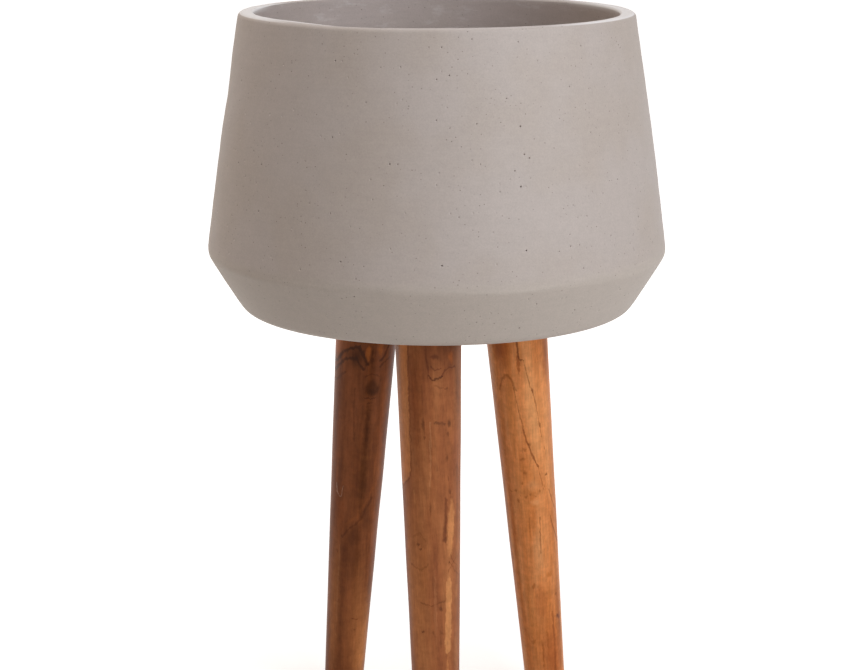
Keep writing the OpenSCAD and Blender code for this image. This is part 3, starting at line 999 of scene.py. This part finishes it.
FRONT_MARKS = (
    patch("#7A4020", 0.8, -19, 316, 40, 170, soft=0.9),
    patch("#B87646", 0.75, -36, 150, 60, 240, soft=1.0),
    patch("#A9693A", 0.4, -16, 180, 34, 100, soft=1.0),
    patch("#6A3A1E", 0.75, 69, 324, 40, 80, soft=1.0),
    patch("#5E3018", 0.8, 54, 374, 110, 74, soft=1.0),
    # a streak of pale sapwood, with a dark line round it
    trail("#C27A45", 0.85, 31, (-72, 440), (-73, 350), (-75, 263), soft=0.08),
    trail("#6E3A16", 0.5, 32, (-72, 440), (-73, 350), (-75, 263), soft=0.06, kind="ring"),
    # the next mark is a painted shadow of the pot, laid over the top of the sapwood
    patch("#5E3A24", 0.75, -68, 368, 50, 110, soft=1.0),
    patch("#D08C5A", 0.5, -43, 308, 22, 100, soft=1.0),
    # a crack and smudges below the pot
    trail("#4C2814", 0.75, 1.9, (6, 338), (11, 335), (21, 335.5), (30, 337)),
    trail("#54291A", 0.55, 1.7, (30, 337), (36, 342), (48, 344), (61, 344)),
    trail("#54291A", 0.45, 1.8, (1, 362), (2, 352), (6, 340)),
    trail("#54291A", 0.5, 2.0, (11, 345), (17, 342.5), (27, 343)),
    patch("#54291A", 0.55, 17, 353, 22, 5),
    trail("#5E341C", 0.4, 2.4, (15, 330), (27, 328), (39, 327)),
    patch("#B0602E", 0.7, 48, 352, 14, 11),
    trail("#54301C", 0.6, 3.2, (16, 300), (24, 299), (34, 298), soft=1.0),
    patch("#54301C", 0.75, 44, 298, 14, 11, soft=1.0),
    patch("#5A3018", 0.5, 40, 290, 8, 5),
    patch("#5A3018", 0.55, -6, 298, 9, 16),
    patch("#5A3018", 0.55, -4, 288, 6, 7),
    patch("#5A3018", 0.65, 39, 270, 8, 12),
    patch("#5A3018", 0.5, 41, 253, 5, 8),
    patch("#5A3018", 0.6, 45, 243, 7, 9),
    trail("#6A3820", 0.75, 4.6, (36, 236), (34, 220), (31, 205), soft=0.9),
    patch("#5C301C", 0.6, 33, 203, 16, 5),
    # two pale flames, one above the other, that meet in a point
    trail("#C68350", 0.9, 8.8, (51, 243), (43, 183), soft=0.5),
    trail("#B06A3C", 0.5, 2.0, (53, 244), (48, 212)),
    trail("#C68552", 0.9, 6.6, (42, 178), (39, 130), soft=0.5),
    trail("#C68552", 0.9, 7.4, (42, 166), (40, 135), (37, 112), soft=0.35),
    trail("#BC7A48", 0.7, 6, (36, 108), (32, 20), soft=0.35),
    patch("#6E3E22", 0.7, 43, 184, 8, 4),
    trail("#6E3E22", 0.55, 1.8, (43, 184), (60, 176), (77, 172)),
    trail("#6E3E22", 0.45, 1.6, (40, 178), (50, 182), (62, 187)),
    trail("#6E3E22", 0.45, 1.6, (46, 190), (56, 183), (68, 181)),
    patch("#5E341C", 0.65, -24, 200.5, 15, 3.5),
    patch("#5E341C", 0.65, -21, 195.5, 9, 3),
    trail("#7A4A26", 0.5, 2.2, (-45, 183), (-20, 178), (-5, 184)),
    trail("#7A4A26", 0.4, 2.2, (-38, 205), (-22, 210), (-8, 204)),
    patch("#542C16", 0.65, -20, 128, 12, 3),
    trail("#6A3D20", 0.5, 1.8, (-23, 152), (-6, 150), (9, 150), (31, 153)),
    patch("#542C16", 0.6, 20, 146, 10, 4),
    patch("#6A3D20", 0.5, 4, 127, 10, 4),
    patch("#6A3D20", 0.5, 25, 126, 10, 4),
    patch("#6A3D20", 0.5, 20, 120, 8, 24),
    trail("#B4794F", 0.45, 2.0, (7, 300), (6, 275), (4, 248)),
    trail("#B87A4A", 0.4, 2.4, (-30, 248), (-30, 228)),
    patch("#B0734A", 0.4, 9, 150, 10, 80),
    patch("#8A5030", 0.5, 64, 172, 22, 30, soft=1.0),
    patch("#B87A4A", 0.55, 64, 108, 24, 60, soft=1.0),
    trail("#6A3D20", 0.55, 2.0, (4, 240), (3, 220)),
    # the side that faces the middle
    patch("#7C4727", 0.6, 150, 250, 40, 120),
    patch("#5A3018", 0.7, 165, 130, 12, 16),
    trail("#5E341C", 0.5, 1.8, (120, 210), (128, 180), (124, 150)),
    patch("#B37143", 0.5, -140, 140, 40, 150),
)

BACK_LEFT_MARKS = (
    patch("#9A5A30", 0.6, 58, 290, 30, 80, soft=1.0),
    patch("#9A5C36", 0.6, 61, 222, 30, 90, soft=1.0),
    patch("#A96C3E", 0.8, -36, 80, 52, 230, soft=1.0),
    patch("#C58049", 0.95, 60, 44, 100, 160, soft=1.0),
    patch("#A6683C", 0.8, 30, 84, 64, 160, soft=1.0),
    patch("#9C5E36", 0.6, 0, 60, 80, 170, soft=1.0),
    patch("#55300F", 0.45, 21, 232, 34, 130, soft=1.0),
    # orange sapwood, with dark arches of heartwood under it
    patch("#B4683A", 0.85, -67, 342, 64, 44, soft=0.6),
    patch("#42200C", 0.75, -11, 328, 50, 26, soft=1.0),
    trail(
        "#3A1D0C", 0.75, 4.6, (-81, 317), (-57, 320), (-42, 329), (-27, 334), (-5, 338), (6, 329), (13, 322)
    ),
    trail("#3F200E", 0.7, 4.2, (-81, 306), (-55, 314), (-35, 324), (-12, 327), (5, 318)),
    trail("#4A2612", 0.45, 3.4, (-81, 297), (-52, 304), (-32, 313)),
    patch("#AC632E", 0.85, 13, 333, 13, 18, soft=0.6),
    patch("#AC632E", 0.85, 37, 335, 14, 16, soft=0.7),
    patch("#482410", 0.6, 21, 328, 8, 26),
    trail("#44220F", 0.65, 3.6, (39, 325), (49, 331), (58, 339)),
    trail("#4A2612", 0.5, 2.6, (39, 320), (51, 324), (63, 327)),
    # a knot, with the grain crowding past it
    trail("#4A2612", 0.4, 2.0, (11, 311), (23, 314), (39, 311)),
    patch("#48260F", 0.7, 25, 300, 44, 19, soft=0.6),
    patch("#3E2010", 0.45, 25, 297, 22, 8),
    patch("#8A5230", 0.5, 4, 300, 8, 18, soft=1.0),
    patch("#8A5230", 0.45, 43, 300, 8, 20, soft=1.0),
    trail("#44220F", 0.6, 2.0, (10, 292), (22, 290.5), (34, 291)),
    trail("#44220F", 0.55, 1.8, (12, 286.5), (34, 286)),
    trail("#55300F", 0.45, 1.8, (15, 280), (32, 279)),
    patch("#4A2510", 0.8, 20, 258, 20, 76, soft=1.0),
    patch("#4E2810", 0.75, 19, 210, 24, 76, soft=1.0),
    patch("#8E5434", 0.45, -4, 282, 12, 50),
    trail("#5A3018", 0.35, 2.2, (-9, 300), (-8, 270), (-4, 250)),
    # a change of wood that slants across, pale above its edge and dark below
    patch("#5A3016", 0.5, 10, 142, 72, 66, soft=1.0),
    patch("#4A240E", 0.5, 32, 176, 36, 40, soft=1.0),
    patch("#4A240E", 0.55, 10, 160, 46, 36, soft=1.0),
    trail("#4A260F", 0.5, 3.6, (44, 196), (33, 186), (21, 176), (8, 170.5), (-8, 165), (-20, 158), soft=0.9),
    trail("#8E5028", 0.35, 4, (45, 205), (37, 196), (24, 187), (10, 178), (-8, 172), (-22, 166), (-32, 156)),
    patch("#8C4A20", 0.5, -32, 180, 44, 50, soft=1.0),
    trail("#B8957F", 0.4, 1.2, (-43, 207), (-42, 199), (-34, 195), (-27, 197), (-25, 206)),
    patch("#5A3016", 0.5, -32, 142, 8, 6),
    trail("#6A381B", 0.4, 11, (-12, 150), (-13, 100), (-10, 30), soft=1.0),
    trail("#A87048", 0.45, 2.0, (-26, 150), (-26, 100), (-26, 60)),
    patch("#A2633A", 0.5, -36, 66, 22, 110, soft=1.0),
    trail("#6A3A1C", 0.55, 2.0, (18, 78), (26, 77), (34, 77)),
    trail("#7A4626", 0.5, 2.0, (22, 68), (32, 66)),
    patch("#7A4626", 0.45, 28, 61, 12, 3),
    # the side that faces the middle
    patch("#8A4E2A", 0.6, 150, 240, 50, 150),
    patch("#44220E", 0.75, -150, 180, 20, 15),
    trail("#512B14", 0.6, 2.2, (110, 120), (122, 135), (140, 132), (158, 118)),
)

BACK_RIGHT_MARKS = (
    patch("#A6572A", 0.75, 34, 42, 100, 110, soft=1.0),
    # the next two marks darken the left side down the whole leg: the wood is a little darker there, and the
    # rest of it is painted shade
    patch("#A4561F", 0.6, -44, 180, 24, 320, soft=1.0),
    patch("#84502A", 0.5, -68, 180, 26, 360, soft=1.0),
    patch("#D88C50", 0.4, -16, 290, 34, 60, soft=1.0),
    patch("#D88C50", 0.5, -10, 200, 46, 80, soft=1.0),
    patch("#D08548", 0.45, -16, 90, 40, 110, soft=1.0),
    patch("#D88C50", 0.4, 15, 222, 40, 46, soft=1.0),
    patch("#E4A56C", 0.6, 26, 275, 60, 140, soft=1.0),
    patch("#C0793F", 0.45, -22, 280, 22, 90, soft=1.0),
    patch("#985226", 0.9, 68, 330, 38, 90, soft=1.0),
    patch("#BE7A48", 0.5, 68, 230, 36, 240, soft=1.0),
    patch("#9E5724", 0.9, 65, 84, 40, 150, soft=1.0),
    patch("#9C5222", 0.8, -30, 346, 56, 60, soft=0.8),
    trail("#74390F", 0.5, 3.6, (-41, 302), (-33, 312), (-22, 316), (-12, 312), (-6, 302), soft=1.0),
    patch("#8A4418", 0.7, 3, 326, 9, 26),
    # two long cracks that run down and across
    trail("#74401E", 0.75, 2.0, (4, 346), (4, 336), (6, 330), (13, 328)),
    trail("#945428", 0.6, 1.5, (13, 328), (19, 314), (23, 305), (28, 299)),
    trail("#945428", 0.6, 1.5, (28, 299), (31, 291), (35, 280), (39, 265), (41, 256)),
    patch("#7A4020", 0.7, 28, 300, 7, 5),
    patch("#7A4020", 0.5, 39, 267, 6, 7),
    patch("#7E421E", 0.5, 47, 244, 5, 6),
    trail("#945428", 0.6, 1.5, (-11, 307), (-6, 293), (-2, 280), (3, 265)),
    trail("#7E4220", 0.75, 1.9, (3, 265), (7, 255), (12, 250), (18, 240), (23, 234), (28, 229)),
    patch("#74401E", 0.8, 12, 251, 11, 7, soft=1.0),
    trail("#9A5A2E", 0.6, 1.5, (28, 229), (32, 220), (38, 207)),
    trail("#8E4E26", 0.6, 2.2, (53, 205), (60, 195), (69, 187), (79, 179)),
    trail("#7E4420", 0.65, 2.4, (52, 180), (56, 173), (64, 165), (71, 158), (80, 152)),
    patch("#6E3616", 0.8, 47, 220.5, 10, 3.5),
    # a band of speckles where a branch once pressed on the wood
    patch("#B4703C", 0.4, 7, 206, 110, 12, soft=1.0),
    patch("#8E5024", 0.55, -39, 207, 10, 3),
    patch("#8E5024", 0.55, -26, 208, 12, 3.5),
    patch("#8E5024", 0.4, -17, 204, 8, 3),
    patch("#8E5024", 0.5, -4, 203, 8, 3),
    patch("#8E5024", 0.5, 6, 205, 8, 3),
    patch("#8E5024", 0.45, 17, 202.5, 10, 2.5),
    patch("#8E5024", 0.45, 29, 206, 8, 4),
    patch("#8E5024", 0.4, 40, 210, 8, 4),
    patch("#8A4A22", 0.6, -3, 225, 11, 7),
    patch("#8A4A22", 0.55, -9, 215, 9, 5),
    patch("#8A4A22", 0.55, -23, 199, 12, 5),
    patch("#8A4A22", 0.5, -5, 238, 16, 5),
    patch("#8A4A22", 0.45, 2, 247, 14, 4),
    patch("#8A4A22", 0.5, 9, 213, 14, 5),
    patch("#DC9C66", 0.45, 12, 213, 40, 14, soft=1.0),
    patch("#E2A068", 0.5, 16, 197, 30, 8),
    patch("#E0A06A", 0.55, 14, 150, 34, 60),
    trail("#8A4A22", 0.5, 1.6, (24, 182), (22, 166), (20, 148)),
    trail("#A5602E", 0.5, 1.8, (0, 190), (-1, 160)),
    patch("#BC6E3A", 0.65, 12, 102, 40, 40, soft=0.45),
    patch("#9A4F20", 0.55, -3, 117, 12, 7),
    patch("#B8682E", 0.5, 39, 126, 30, 8),
    patch("#7A3F1C", 0.55, 56, 104, 14, 5),
    trail("#6E3A28", 0.85, 4.8, (46, 84.5), (74, 79), soft=0.8),
    trail("#8E4A22", 0.6, 3.4, (41, 88), (42, 60), (40, 30)),
    trail("#96501F", 0.55, 3.0, (6, 66), (7, 28)),
    trail("#96501F", 0.45, 3.0, (23, 84), (21, 36)),
    patch("#8A4A22", 0.5, -18, 62, 22, 6),
    # the side that faces the middle
    patch("#B4652F", 0.6, 150, 220, 50, 160),
    trail("#5A2C12", 0.7, 1.6, (120, 300), (128, 270), (126, 240), (134, 210)),
    patch("#7A3F1C", 0.6, -150, 150, 14, 8),
)

LEG_WOODS = {
    "front": LegWood("#A5683F", "#985B36", "#8A5030", (34, -8), (1.5, 2.5), 1.3, FRONT_MARKS),
    "back_right": LegWood("#DE955C", "#D4864D", "#CA7A40", (-30, 18), (2.0, -2.0), 4.1, BACK_RIGHT_MARKS),
    "back_left": LegWood("#8C5230", "#7D4726", "#6E3C1F", (12, 38), (-4.0, 1.0), 7.7, BACK_LEFT_MARKS),
}


# ---- Fixings ----

BOLT_SIDES = 48
TURNED_SIDES = 96


def thread(shell, centre, low, high, pitch, crest, root, taper=0.0, steps=12):
    """Rings of a screw thread from low to high, so that each ring's radius runs round the helix."""
    rows = max(2, round((high - low) / pitch * steps))
    angles = np.arange(BOLT_SIDES) / BOLT_SIDES
    around = ring_directions(BOLT_SIDES)
    # the flanks are steeper than a zigzag, which leaves a narrow flat at crest and root, and a point is blunt
    steep, flat, blunt = 1.3, 0.15, 0.25
    rings = []
    for i in range(rows + 1):
        z = low + (high - low) * i / rows
        phase = (z / pitch - angles) % 1.0
        flank = np.clip(np.abs(2 * phase - 1) * steep - flat, 0, 1)
        narrow = 1.0 if taper == 0 else min(1.0, blunt + (z - low) / taper)
        fade = min(1.0, (z - low) / pitch + 0.1, (high - z) / pitch + 0.1)
        radius = (root + (crest - root) * flank * fade) * narrow
        rings.append(shell.level(centre + around * radius[:, None], z))
    return rings


def build_bolt(side, fixings):
    """A hanger bolt: a pointed wood thread below, a short plain shank and a machine thread above."""
    node = "leg_bolt_" + side
    low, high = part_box(node)
    centre = axis_point(node)
    r = fixings.bolt_d / 2
    # the chamfer at the top, the bare tip at the bottom, and the length over which the thread narrows to it
    chamfer, tip, point = 0.8 * MM, 0.5 * MM, 12 * MM
    # the plain shank between the threads, and the radius at the root of each thread
    shank_low, shank_high = BASE_Z - 4 * MM, BASE_Z + 2 * MM
    wood_root, root = 0.68 * r, r - 0.61 * fixings.pitch
    shell = Shell()
    rings = thread(shell, centre, low.z + tip, shank_low, fixings.wood_pitch, r, wood_root, taper=point)
    rings += thread(shell, centre, shank_high, high.z - chamfer, fixings.pitch, r, root, steps=10)
    rings.append(shell.level(centre + ring_directions(BOLT_SIDES) * (r - chamfer), high.z))
    shell.bands(rings)
    shell.cap(rings[-1], shell.add([(*centre, high.z)])[0])
    shell.cap(rings[0][::-1], shell.add([(*centre, low.z)])[0])
    return shell


def build_nut(side, fixings):
    """A hexagon nut: its corners are turned off by a cone at both ends, and its hole is countersunk."""
    node = "nut_" + side
    low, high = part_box(node)
    centre = axis_point(node)
    half = (high.y - low.y) / 2
    hole = fixings.bolt_d / 2 + PLAY
    # the radii, in shares of the half width, of the cone that cuts the corners and of the flat it leaves
    cone, face = 0.985, 0.97
    sides = 144
    angles = np.arange(sides) * TURN / sides
    across = (angles + TURN / 12) % (TURN / 6) - TURN / 12
    hexagon = half / np.cos(across)
    # the flats face -Y and +Y
    turned = (hexagon - half * cone) * math.tan(math.radians(30))
    sink = 0.5 * MM
    stations = [
        (hole, low.z + sink),
        (hole + sink, low.z),
        (half * face, low.z),
        (hexagon, low.z + turned),
        (hexagon, high.z - turned),
        (half * face, high.z),
        (hole + sink, high.z),
        (hole, high.z - sink),
    ]
    shell = Shell()
    around = ring_directions(sides)
    rings = [shell.level(centre + around * np.broadcast_to(r, sides)[:, None], z) for r, z in stations]
    shell.bands(rings + rings[:1])
    return shell


def build_ring(node, inner_r, edge_round, bulge=0.0):
    """A flat ring such as a washer or a seal, with eased edges and, on rubber, sides that bulge."""
    low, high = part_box(node)
    outer_r = (high.x - low.x) / 2
    middle = (low.z + high.z) / 2
    corners = [
        (inner_r, low.z, edge_round / 2),
        (outer_r - bulge, low.z, edge_round),
        (outer_r, middle, bulge),
        (outer_r - bulge, high.z, edge_round),
        (inner_r, high.z, edge_round / 2),
    ]
    if bulge == 0:
        del corners[2]
    shell = Shell()
    lathe(shell, rounded(corners), TURNED_SIDES, axis_point(node), closed=True)
    return shell


def build_glide(side, fixings):
    """A nail-on glide: a nylon disc with a rounded lower edge and a steel nail up its middle.

    Also returns how many of its faces are nylon.
    """
    node = "foot_glide_" + side
    low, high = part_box(node)
    centre = axis_point(node)
    disc_r = (high.x - low.x) / 2
    disc_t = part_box("leg_" + side)[0].z
    nail_r = fixings.nail_d / 2
    point_z, tip_z, tip_r = high.z - 2 * fixings.nail_d, high.z - 0.3 * MM, 0.3 * nail_r
    shell = Shell()
    disc = rounded([(0, 0, 0), (disc_r, 0, 1.5 * MM), (disc_r, disc_t, 0.3 * MM), (nail_r, disc_t, 0)])
    lathe(shell, disc, TURNED_SIDES, centre)
    nylon_faces = len(shell.faces)
    lathe(shell, [(nail_r, disc_t), (nail_r, point_z), (tip_r, tip_z), (0, high.z)], TURNED_SIDES, centre)
    return shell, nylon_faces


def build_plug(fixings):
    """A rubber plug: a tapered stem with a lead-in, a flange on the pot's floor and a beaded grip."""
    low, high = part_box("drain_plug")
    flange_r = (high.x - low.x) / 2
    stem_r = fixings.drain_d / 2 - 0.3 * MM
    lead_in, swelling = 0.5 * MM, 0.2 * MM
    flange_z = FLOOR_Z + 3 * MM
    flange_side, ease, fillet = 1.5 * MM, 0.8 * MM, 1.2 * MM
    grip_r = 5.5 * MM
    neck_r = 2.75 * MM
    bead = (high.z - flange_z) / 4
    corners = [
        (0, low.z, 0),
        (stem_r - lead_in, low.z, ease),
        (stem_r, FLOOR_Z - 0.3 * MM, 0),
        (stem_r + swelling, FLOOR_Z, 0),
        (flange_r, FLOOR_Z, 0.5 * MM),
        (flange_r, FLOOR_Z + flange_side, ease),
        (flange_r - flange_side, flange_z, ease),
        (neck_r + fillet, flange_z, ease),
        (neck_r, flange_z + fillet, 0.6 * MM),
        (neck_r, high.z - 2 * bead, 0),
    ]
    outline = list(rounded(corners))
    outline += arc((grip_r - bead, high.z - bead), bead, -math.pi / 2, math.pi / 2, math.radians(15))
    outline += [np.array([0, high.z])]
    shell = Shell()
    lathe(shell, divided(np.array(outline), 2 * MM), TURNED_SIDES)
    return shell


# ---- Operators ----


class PLANTER_OT_pot(bpy.types.Operator):
    """Casts the fibre-cement pot"""

    bl_idname = "planter.pot"
    bl_label = "Pot"

    def execute(self, context):
        look = context.scene.planter_pot
        shell, marks = build_pot(look, context.scene.planter_fixings)
        sanded = cast_fibre_cement("Cast fibre-cement, sanded", look, bloom=0.0)
        raw = cast_fibre_cement("Cast fibre-cement, as it left the mould", look, bloom=0.33)
        piece = make_piece("cement_pot", shell, [sanded, raw], STAND, "pot", attributes=marks)
        self.paint_inside(piece, look)
        return {"FINISHED"}

    @staticmethod
    def paint_inside(piece, look):
        """Gives the faces inside the pot, and under it, the finish that the mould left."""
        mesh = piece.data
        count = len(mesh.polygons)
        centres = np.zeros(count * 3)
        normals = np.zeros(count * 3)
        mesh.polygons.foreach_get("center", centres)
        mesh.polygons.foreach_get("normal", normals)
        centres = centres.reshape(-1, 3)
        normals = normals.reshape(-1, 3)
        inward = (centres[:, :2] * normals[:, :2]).sum(axis=1) < 0
        level = np.linalg.norm(centres[:, :2], axis=1) < look.base_d / 2
        low_enough = centres[:, 2] < RIM_Z - look.lip_round
        mesh.polygons.foreach_set("material_index", ((inward | level) & low_enough).astype(np.int32))


class PLANTER_OT_legs(bpy.types.Operator):
    """Turns the three teak legs"""

    bl_idname = "planter.legs"
    bl_label = "Legs"

    def execute(self, context):
        legs = context.scene.planter_legs
        for side in SIDES:
            shell, along = build_leg(side, legs, context.scene.planter_fixings)
            teak = oiled_teak("Turned teak, oiled, " + side, LEG_WOODS[side])
            name, node, places = "teak_leg_" + side, "leg_" + side, {"along_leg": along}
            make_piece(name, shell, [teak], STAND, node, attributes=places, sharp_angle=50)
        return {"FINISHED"}


class PLANTER_OT_fixings(bpy.types.Operator):
    """Makes the hanger bolts, nuts and washers that hold the legs"""

    bl_idname = "planter.fixings"
    bl_label = "Bolts, nuts and washers"

    def execute(self, context):
        fixings = context.scene.planter_fixings
        zinc = zinc_plated_steel()
        stainless = stamped_stainless()
        hole = fixings.bolt_d / 2 + 0.2 * MM
        for side in SIDES:
            washer = build_ring("washer_" + side, hole, 0.3 * MM)
            pieces = (
                ("hanger_bolt_", build_bolt(side, fixings), zinc, "zinc_steel", "leg_bolt_"),
                ("hex_nut_", build_nut(side, fixings), zinc, "zinc_steel", "nut_"),
                ("steel_washer_", washer, stainless, "washer_steel", "washer_"),
            )
            for name, shell, metal, slot, node in pieces:
                make_piece(name + side, shell, [metal], STAND, node + side, sharp_angle=28)
        return {"FINISHED"}


class PLANTER_OT_seals(bpy.types.Operator):
    """Makes the rubber seals under the washers"""

    bl_idname = "planter.seals"
    bl_label = "Seals"

    def execute(self, context):
        rubber = black_rubber("Punched rubber sheet")
        hole = context.scene.planter_fixings.bolt_d / 2 + PLAY
        for side in SIDES:
            shell = build_ring("seal_" + side, hole, 0.4 * MM, bulge=0.35 * MM)
            make_piece("rubber_seal_" + side, shell, [rubber], STAND, "seal_" + side)
        return {"FINISHED"}


class PLANTER_OT_glides(bpy.types.Operator):
    """Makes the nail-on glides under the legs"""

    bl_idname = "planter.glides"
    bl_label = "Glides"

    def execute(self, context):
        disc = nylon()
        nail = bpy.data.materials["Zinc-plated steel"]
        for side in SIDES:
            shell, nylon_faces = build_glide(side, context.scene.planter_fixings)
            node = "foot_glide_" + side
            piece = make_piece(
                "nylon_glide_" + side, shell, [disc, nail], STAND, node, sharp_angle=40
            )
            metal = [0] * nylon_faces + [1] * (len(shell.faces) - nylon_faces)
            piece.data.polygons.foreach_set("material_index", metal)
        return {"FINISHED"}


class PLANTER_OT_plug(bpy.types.Operator):
    """Makes the rubber drain plug"""

    bl_idname = "planter.plug"
    bl_label = "Drain plug"

    def execute(self, context):
        rubber = black_rubber("Moulded rubber")
        shell = build_plug(context.scene.planter_fixings)
        make_piece("rubber_plug", shell, [rubber], PLUG, "drain_plug")
        return {"FINISHED"}


# ---- The studio ----

# azimuth is in degrees from -Y towards +X, warmth is the light's colour, and shines is whether gloss shows it
Softbox = namedtuple("Softbox", "name azimuth elevation distance width height power warmth shines")

SOFTBOXES = (
    Softbox("Key", 50, 25, 2.2, 2.2, 1.2, 37, "#F6FAFF", True),
    Softbox("Fill", -90, 42, 2.2, 1.2, 1.0, 6.6, "#FFEEDC", True),
    Softbox("Edge", -120, 28, 2.2, 1.0, 0.8, 9, "#FFF2E4", False),
    Softbox("Top", -20, 80, 2.2, 1.4, 1.4, 16.5, "#FAFBFF", True),
)
AMBIENT = 0.19
AMBIENT_SHADE = "#FFE9D6"


def seen_directly(tree):
    """1 for rays from the camera and for what gloss and glass show, 0 for light that falls on the object."""
    path = add_node(tree, "LightPath")
    seen = path["Is Camera Ray"]
    for ray in ("Is Glossy Ray", "Is Transmission Ray"):
        seen = add_node(tree, "Math", {0: seen, 1: path[ray]}, operation="MAXIMUM")[0]
    return seen


class PLANTER_OT_stage(bpy.types.Operator):
    """Sets up the white studio and the camera"""

    bl_idname = "planter.stage"
    bl_label = "Studio"

    def execute(self, context):
        self.floor(context)
        self.surroundings(context)
        for box in SOFTBOXES:
            self.softbox(context, box)
        self.camera(context)
        context.scene.view_settings.view_transform = "Standard"
        return {"FINISHED"}

    @staticmethod
    def floor(context):
        """A white floor that keeps the stand's shadow."""
        reach = 12.0
        mesh = bpy.data.meshes.new("studio_floor")
        corners = [(-reach, -reach, 0), (reach, -reach, 0), (reach, reach, 0), (-reach, reach, 0)]
        mesh.from_pydata(corners, [], [(0, 1, 2, 3)])
        material = bpy.data.materials.new("Painted studio floor, white")
        material.use_nodes = True
        tree = material.node_tree
        tree.nodes.clear()
        paint = add_node(tree, "BsdfDiffuse", {"Color": linear("#E6E6E6")})
        # the lamps' light falls off away from the stand, and the floor's own white makes up for it
        near, far, least = 0.4, 1.8, context.scene.planter_stage.floor_white
        place = add_node(tree, "TexCoord")["Object"]
        away = add_node(tree, "VectorMath", {0: place}, operation="LENGTH")["Value"]
        white = add_node(tree, "MapRange", eased(away, near, far, least, 1.0), **SMOOTH)
        glow = add_node(tree, "Emission", {"Color": linear("#FFFFFF"), "Strength": white[0]})
        lit = add_node(tree, "AddShader", {0: paint[0], 1: glow[0]})
        shaders = {0: seen_directly(tree), 1: paint[0], 2: lit[0]}
        either = add_node(tree, "MixShader", shaders)
        add_node(tree, "OutputMaterial", {"Surface": either[0]})
        mesh.materials.append(material)
        floor = bpy.data.objects.new("studio_floor", mesh)
        context.scene.collection.objects.link(floor)

    @staticmethod
    def surroundings(context):
        """White all round where it is seen, and a gentle light on the object."""
        world = bpy.data.worlds.new("White studio")
        context.scene.world = world
        world.use_nodes = True
        tree = world.node_tree
        tree.nodes.clear()
        gentle = add_node(tree, "Background", {"Color": linear(AMBIENT_SHADE), "Strength": AMBIENT})
        white = add_node(tree, "Background", {"Color": linear("#FFFFFF"), "Strength": 1.0})
        shaders = {0: seen_directly(tree), 1: gentle[0], 2: white[0]}
        either = add_node(tree, "MixShader", shaders)
        add_node(tree, "OutputWorld", {"Surface": either[0]})

    @staticmethod
    def softbox(context, box):
        """One softbox that faces the pot."""
        light = bpy.data.lights.new(box.name + "_softbox", "AREA")
        light.shape = "RECTANGLE"
        light.size = box.width
        light.size_y = box.height
        light.energy = box.power
        light.color = linear(box.warmth)[:3]
        lamp = bpy.data.objects.new(box.name + "_softbox", light)
        azimuth, elevation = math.radians(box.azimuth), math.radians(box.elevation)
        level = math.cos(elevation)
        away = Vector((math.sin(azimuth) * level, -math.cos(azimuth) * level, math.sin(elevation)))
        lamp.location = Vector((0, 0, BASE_Z)) + away * box.distance
        lamp.rotation_euler = away.to_track_quat("Z", "Y").to_euler()
        lamp.visible_glossy = box.shines
        context.scene.collection.objects.link(lamp)

    @staticmethod
    def camera(context):
        """The photograph's view, found from the pot's outline and the legs' edges."""
        stage = context.scene.planter_stage
        data = bpy.data.cameras.new("Camera")
        data.lens = stage.lens
        camera = bpy.data.objects.new("Camera", data)
        camera.location = (
            stage.distance * math.sin(stage.azimuth),
            -stage.distance * math.cos(stage.azimuth),
            stage.height,
        )
        camera.rotation_euler = (math.pi / 2 - stage.pitch, 0, stage.azimuth + stage.aside)
        context.scene.collection.objects.link(camera)
        context.scene.camera = camera


# ---- Panel and registration ----

OPERATORS = (
    PLANTER_OT_stage,
    PLANTER_OT_pot,
    PLANTER_OT_legs,
    PLANTER_OT_fixings,
    PLANTER_OT_seals,
    PLANTER_OT_glides,
    PLANTER_OT_plug,
)
SETTINGS = {
    "planter_pot": PotSettings,
    "planter_legs": LegSettings,
    "planter_fixings": FixingSettings,
    "planter_stage": StageSettings,
}


class PLANTER_PT_parts(bpy.types.Panel):
    """Lists what can be built"""

    bl_label = "Planter"
    bl_idname = "PLANTER_PT_parts"
    bl_space_type = "VIEW_3D"
    bl_region_type = "UI"
    bl_category = "Planter"

    def draw(self, context):
        for operator in OPERATORS:
            self.layout.operator(operator.bl_idname)
        for name, group in SETTINGS.items():
            box = self.layout.box()
            for key in group.__annotations__:
                box.prop(getattr(context.scene, name), key)


def register():
    for group in (*SETTINGS.values(), *OPERATORS, PLANTER_PT_parts):
        bpy.utils.register_class(group)
    for name, group in SETTINGS.items():
        setattr(bpy.types.Scene, name, PointerProperty(type=group))


def unregister():
    for name in SETTINGS:
        delattr(bpy.types.Scene, name)
    for group in (PLANTER_PT_parts, *reversed(OPERATORS), *SETTINGS.values()):
        bpy.utils.unregister_class(group)


def main():
    register()
    for operator in OPERATORS:
        family, name = operator.bl_idname.split(".")
        getattr(getattr(bpy.ops, family), name)()


if __name__ == "__main__":
    main()
